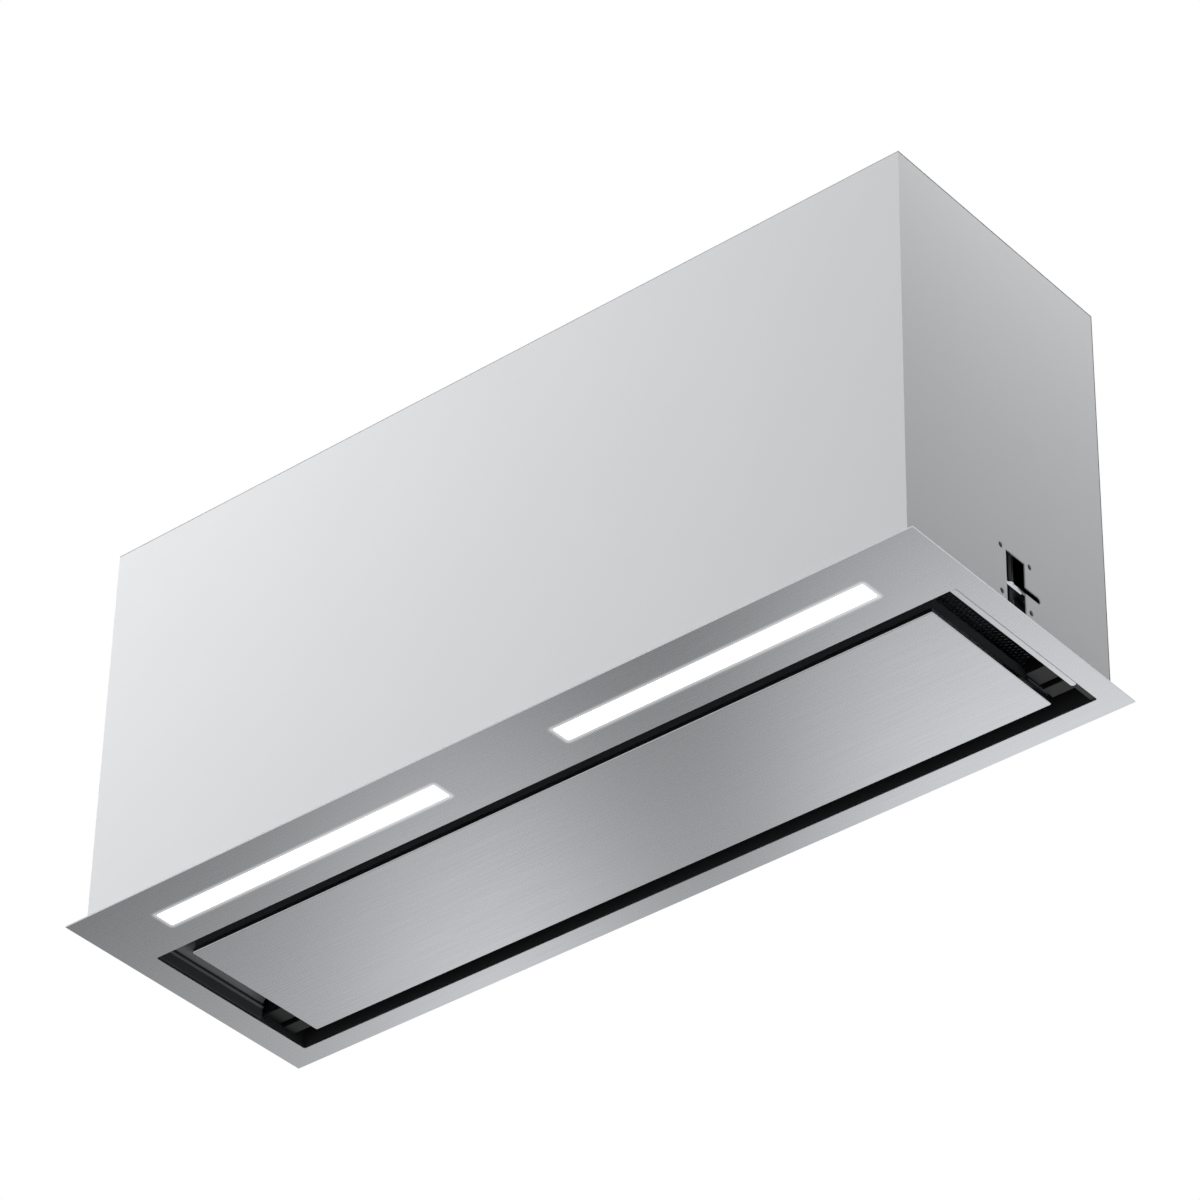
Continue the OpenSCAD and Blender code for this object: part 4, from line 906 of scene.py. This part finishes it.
class HOOD_OT_gland(bpy.types.Operator):
    """The cable gland: a six-sided body with a ribbed, domed cap round its bore."""

    bl_idname = "hood.gland"
    bl_label = "Cable gland"

    # Radii, the hexagon's over its corners
    bore = 4.5 * MM
    neck = 8 * MM
    cap = 8.5 * MM
    hexagon = 11 * MM
    # Heights over the casing's top of the body and of the cap's foot
    body_top = 6 * MM
    cap_foot = 6.4 * MM
    # How far below the gland's top the ribs end and the dome's edge lies, and how far that edge is in
    ribs_end = 2.6 * MM
    dome_edge = 0.8 * MM
    dome_in = 1.2 * MM
    # Width of the flat lip round the bore, depth of the grooves between ribs, rounding of the hexagons
    lip = 1.5 * MM
    groove = 0.4 * MM
    hexagon_round = 0.5 * MM
    # The nut's foot and top over the gland's lowest point
    nut = (2.8 * MM, 7.8 * MM)

    def execute(self, context):
        steps = 4 * context.scene.hood_sizes.gland_ribs
        low, high = span("cable_gland")
        middle = (low + high) / 2
        sheet = span("casing_top")[1].z
        top, bottom = high.z - self.ribs_end, sheet + self.cap_foot
        obj = round_piece("gland_cap", steps, self.cap, middle, bottom, top)
        self.grow(obj, middle, top, (
            (high.z - self.dome_edge, self.cap - self.dome_in), (high.z, self.bore + self.lip),
            (high.z, self.bore)))
        self.grow(obj, middle, bottom, (
            (sheet + self.body_top, self.neck), (low.z, self.neck), (low.z, self.bore)))
        pick(obj, "FACE", lambda mid, face: len(face.verts) == steps)
        bpy.ops.mesh.bridge_edge_loops()
        outward()
        pick(obj, "FACE", lambda mid, face: bottom < mid.z < top and self.grip(mid - middle, steps))
        bpy.ops.mesh.extrude_region_shrink_fatten(TRANSFORM_OT_shrink_fatten={"value": -self.groove})
        close_piece(obj)
        fit_out(obj, "hood", "black_plastic", "cable_gland")
        for name, z0, z1 in (("gland_body", sheet, sheet + self.body_top),
                             ("gland_nut", low.z + self.nut[0], low.z + self.nut[1])):
            obj = round_piece(name, 6, self.hexagon, middle, z0, z1)
            round_edges(obj, self.hexagon_round, 2, lambda mid, edge: True)
            close_piece(obj)
            fit_out(obj, "hood", "black_plastic", "cable_gland")
        return {"FINISHED"}

    def grow(self, obj, middle, level, rings):
        """Carries an end face of the cap on through rings, each a height and a radius."""
        radius = self.cap
        pick(obj, "FACE", lambda mid, face: abs(mid.z - level) < NEAR)
        for height, wide in rings:
            extrude(height - level)
            bpy.ops.transform.resize(value=(wide / radius, wide / radius, 1),
                                     center_override=(middle.x, middle.y, height))
            level, radius = height, wide

    def grip(self, spot, steps):
        """Whether a spot round the gland's middle lies on every fourth outer face of the cap."""
        place = math.atan2(spot.y, spot.x) / math.tau * steps - 0.5
        return math.hypot(spot.x, spot.y) > self.neck and round(place) % 4 == 0


class HOOD_OT_stage(bpy.types.Operator):
    """A pale floor far below the hung hood, an even white studio, soft lamps and the camera."""

    bl_idname = "hood.stage"
    bl_label = "Studio and camera"

    aim = Vector((0.0279, -0.0163, 0.1914))
    # Each lamp's place and size in metres
    lamps = {"front_lamp": ((-1.25, -1.75, 1.25), 1.2), "end_lamp": ((0.95, 0.0, 0.95), 0.4)}
    # The glowing card and the dark one, and the turn of the glowing card's bands from X
    card_middle = (-0.65, 0.8, -0.6)
    card_size = (3.1, 1.8)
    flag_middle = (1.4, 0.2, -0.55)
    flag_size = (1.7, 2.8)
    band_turn = math.radians(31)
    # Each band's place across the bands and its brightness
    bands = ((-1.1, 0.45), (-0.50, 0.45), (-0.26, 1.25), (-0.05, 0.1), (0.14, 1.0), (0.38, 1.02), (1.2, 0.95))
    # Along Y, from where to where the card's light changes, and its share at either end
    fade = {"From Min": 0.40, "From Max": 0.76, "To Min": 0.42, "To Max": 1.27}
    floor_z = -4.6
    floor_size = 500.0
    # How much of the floor's own shading the plain white takes over where it is looked at
    floor_white = 0.8

    def execute(self, context):
        studio = context.scene.hood_studio
        self.world(context, studio)
        self.floor()
        self.lamp("front_lamp", studio.key_power)
        self.lamp("end_lamp", studio.fill_power)
        self.reflector(studio.card_light)
        self.flag()
        self.camera(context, studio)
        context.scene.view_settings.view_transform = "Standard"
        return {"FINISHED"}

    def world(self, context, studio):
        """An even white studio: dim where it lights, full white where it is looked at."""
        world = bpy.data.worlds.new("studio")
        context.scene.world = world
        world.use_nodes = True
        tree = world.node_tree
        tree.nodes.clear()
        light = add(tree, "Background", {"Color": WHITE, "Strength": studio.world_light})
        seen = add(tree, "Background", {"Color": WHITE, "Strength": 1.0})
        both = self.mixed(tree, self.looked_at(tree), light.outputs["Background"], seen.outputs["Background"])
        add(tree, "OutputWorld", {"Surface": both})

    def mixed(self, tree, share, first, second):
        """The socket of two shaders mixed by a share of the second."""
        return add(tree, "MixShader", {0: share, 1: first, 2: second}).outputs["Shader"]

    def looked_at(self, tree):
        """1 for a ray from the camera, or one that metal or glass passes on, and 0 for one that lights."""
        path = add(tree, "LightPath")
        gloss = maths(tree, "MAXIMUM", path.outputs["Is Camera Ray"], path.outputs["Is Glossy Ray"])
        return maths(tree, "MAXIMUM", gloss, path.outputs["Is Transmission Ray"])

    def floor(self):
        """The pale floor, mostly plain white where it is looked at."""
        bpy.ops.object.select_all(action="DESELECT")
        bpy.ops.mesh.primitive_plane_add(size=self.floor_size, location=(0, 0, self.floor_z))
        floor = bpy.context.active_object
        floor.name = "floor"
        tree, shader = base("pale_floor", linear("#E9E9EA"), Roughness=0.9)
        white = add(tree, "Emission", {"Color": WHITE, "Strength": 1.0})
        share = maths(tree, "MULTIPLY", self.looked_at(tree), self.floor_white)
        both = self.mixed(tree, share, shader.outputs["BSDF"], white.outputs["Emission"])
        tree.links.new(both, tree.nodes["Material Output"].inputs["Surface"])
        floor.data.materials.append(FINISHES["pale_floor"])

    def lamp(self, name, power):
        """A soft square lamp that looks at the aim point and doesn't show in the steel."""
        place, size = self.lamps[name]
        bpy.ops.object.light_add(type="AREA", location=place)
        lamp = bpy.context.active_object
        lamp.name = name
        lamp.data.shape = "SQUARE"
        lamp.data.size = size
        lamp.data.energy = power
        lamp.visible_glossy = False
        lamp.rotation_mode = "QUATERNION"
        lamp.rotation_quaternion = (self.aim - Vector(place)).to_track_quat("-Z", "Y")

    def card(self, name, middle, size, tilt=0.0, mirrored=True):
        """A flat card that the camera doesn't see, tilted about Y, with its cleared node tree."""
        card = begin(name, bpy.ops.mesh.primitive_plane_add, (*size, 1), size=1, location=middle,
                     rotation=(0, tilt, 0))
        bpy.ops.object.mode_set(mode="OBJECT")
        material = bpy.data.materials.new(name)
        material.use_nodes = True
        material.node_tree.nodes.clear()
        card.data.materials.append(material)
        card.visible_camera = False
        card.visible_shadow = False
        card.visible_glossy = mirrored
        return material.node_tree

    def reflector(self, strength):
        """The glowing card below the hood whose soft bands the brushed flange and panel reflect."""
        tree = self.card("reflector", self.card_middle, self.card_size)
        place = add(tree, "TexCoord").outputs["Object"]
        across = (math.cos(self.band_turn), math.sin(self.band_turn), 0)
        along = maths(tree, "DOT_PRODUCT", place, across, vector=True)
        low, high = self.bands[0][0], self.bands[-1][0]
        share = add(tree, "MapRange", {"Value": along, "From Min": low, "From Max": high})
        ramp = add(tree, "ValToRGB", {"Fac": share.outputs["Result"]})
        ramp.color_ramp.interpolation = "B_SPLINE"
        stops = ramp.color_ramp.elements
        while len(stops) < len(self.bands):
            stops.new(0.5)
        for stop, (where, level) in zip(stops, self.bands):
            stop.position = (where - low) / (high - low)
            stop.color = (level, level, level, 1)
        depth = add(tree, "SeparateXYZ", {"Vector": place}).outputs["Y"]
        fade = add(tree, "MapRange", {"Value": depth, **self.fade}, interpolation_type="SMOOTHSTEP")
        power = maths(tree, "MULTIPLY", fade.outputs["Result"], strength)
        glow = add(tree, "Emission", {"Color": ramp.outputs["Color"], "Strength": power})
        add(tree, "OutputMaterial", {"Surface": glow.outputs["Emission"]})

    def flag(self):
        """A dark card off the right end that keeps the floor's light from its lower half."""
        tree = self.card("flag", self.flag_middle, self.flag_size, math.radians(90), mirrored=False)
        dull = add(tree, "BsdfDiffuse", {"Color": (0.02, 0.02, 0.02, 1)})
        add(tree, "OutputMaterial", {"Surface": dull.outputs["BSDF"]})

    def camera(self, context, studio):
        a, e, r = studio.azimuth, studio.elevation, studio.roll
        back = Vector((math.sin(a) * math.cos(e), -math.cos(a) * math.cos(e), math.sin(e)))
        level = Vector((0, 0, 1)).cross(back).normalized()
        above = back.cross(level)
        right = level * math.cos(r) + above * math.sin(r)
        up = above * math.cos(r) - level * math.sin(r)
        turn = Matrix((right, up, back)).transposed().to_4x4()
        bpy.ops.object.camera_add()
        camera = bpy.context.active_object
        camera.name = "product_camera"
        camera.matrix_world = Matrix.Translation(self.aim + back * studio.distance) @ turn
        camera.data.lens = studio.lens
        camera.data.sensor_width = 36
        camera.data.clip_end = 100
        context.scene.camera = camera


class HOOD_PT_sidebar(bpy.types.Panel):
    """Lists the hood's pieces and settings in the 3D view's sidebar."""

    bl_idname = "HOOD_PT_sidebar"
    bl_label = "Range hood"
    bl_space_type = "VIEW_3D"
    bl_region_type = "UI"
    bl_category = "Hood"

    def draw(self, context):
        for operator in STEPS:
            self.layout.operator(operator.bl_idname)
        for group in (context.scene.hood_sizes, context.scene.hood_colours, context.scene.hood_studio):
            for key in group.bl_rna.properties.keys():
                if key not in ("rna_type", "name"):
                    self.layout.prop(group, key)


GROUPS = (HoodSizes, HoodColours, HoodStudio)
STEPS = (HOOD_OT_finishes, HOOD_OT_edges, HOOD_OT_flange, HOOD_OT_panel, HOOD_OT_light_covers,
         HOOD_OT_filter_meshes, HOOD_OT_wall_rails, HOOD_OT_screw_heads, HOOD_OT_clamp_screws,
         HOOD_OT_gland, HOOD_OT_stage)


def register():
    for cls in (*GROUPS, *STEPS, HOOD_PT_sidebar):
        bpy.utils.register_class(cls)
    bpy.types.Scene.hood_sizes = PointerProperty(type=HoodSizes)
    bpy.types.Scene.hood_colours = PointerProperty(type=HoodColours)
    bpy.types.Scene.hood_studio = PointerProperty(type=HoodStudio)


def unregister():
    for name in ("hood_sizes", "hood_colours", "hood_studio"):
        delattr(bpy.types.Scene, name)
    for cls in reversed((*GROUPS, *STEPS, HOOD_PT_sidebar)):
        bpy.utils.unregister_class(cls)


def main():
    """Registers the add-on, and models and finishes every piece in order."""
    register()
    for step in STEPS:
        area, name = step.bl_idname.split(".")
        getattr(getattr(bpy.ops, area), name)()


if __name__ == "__main__":
    main()
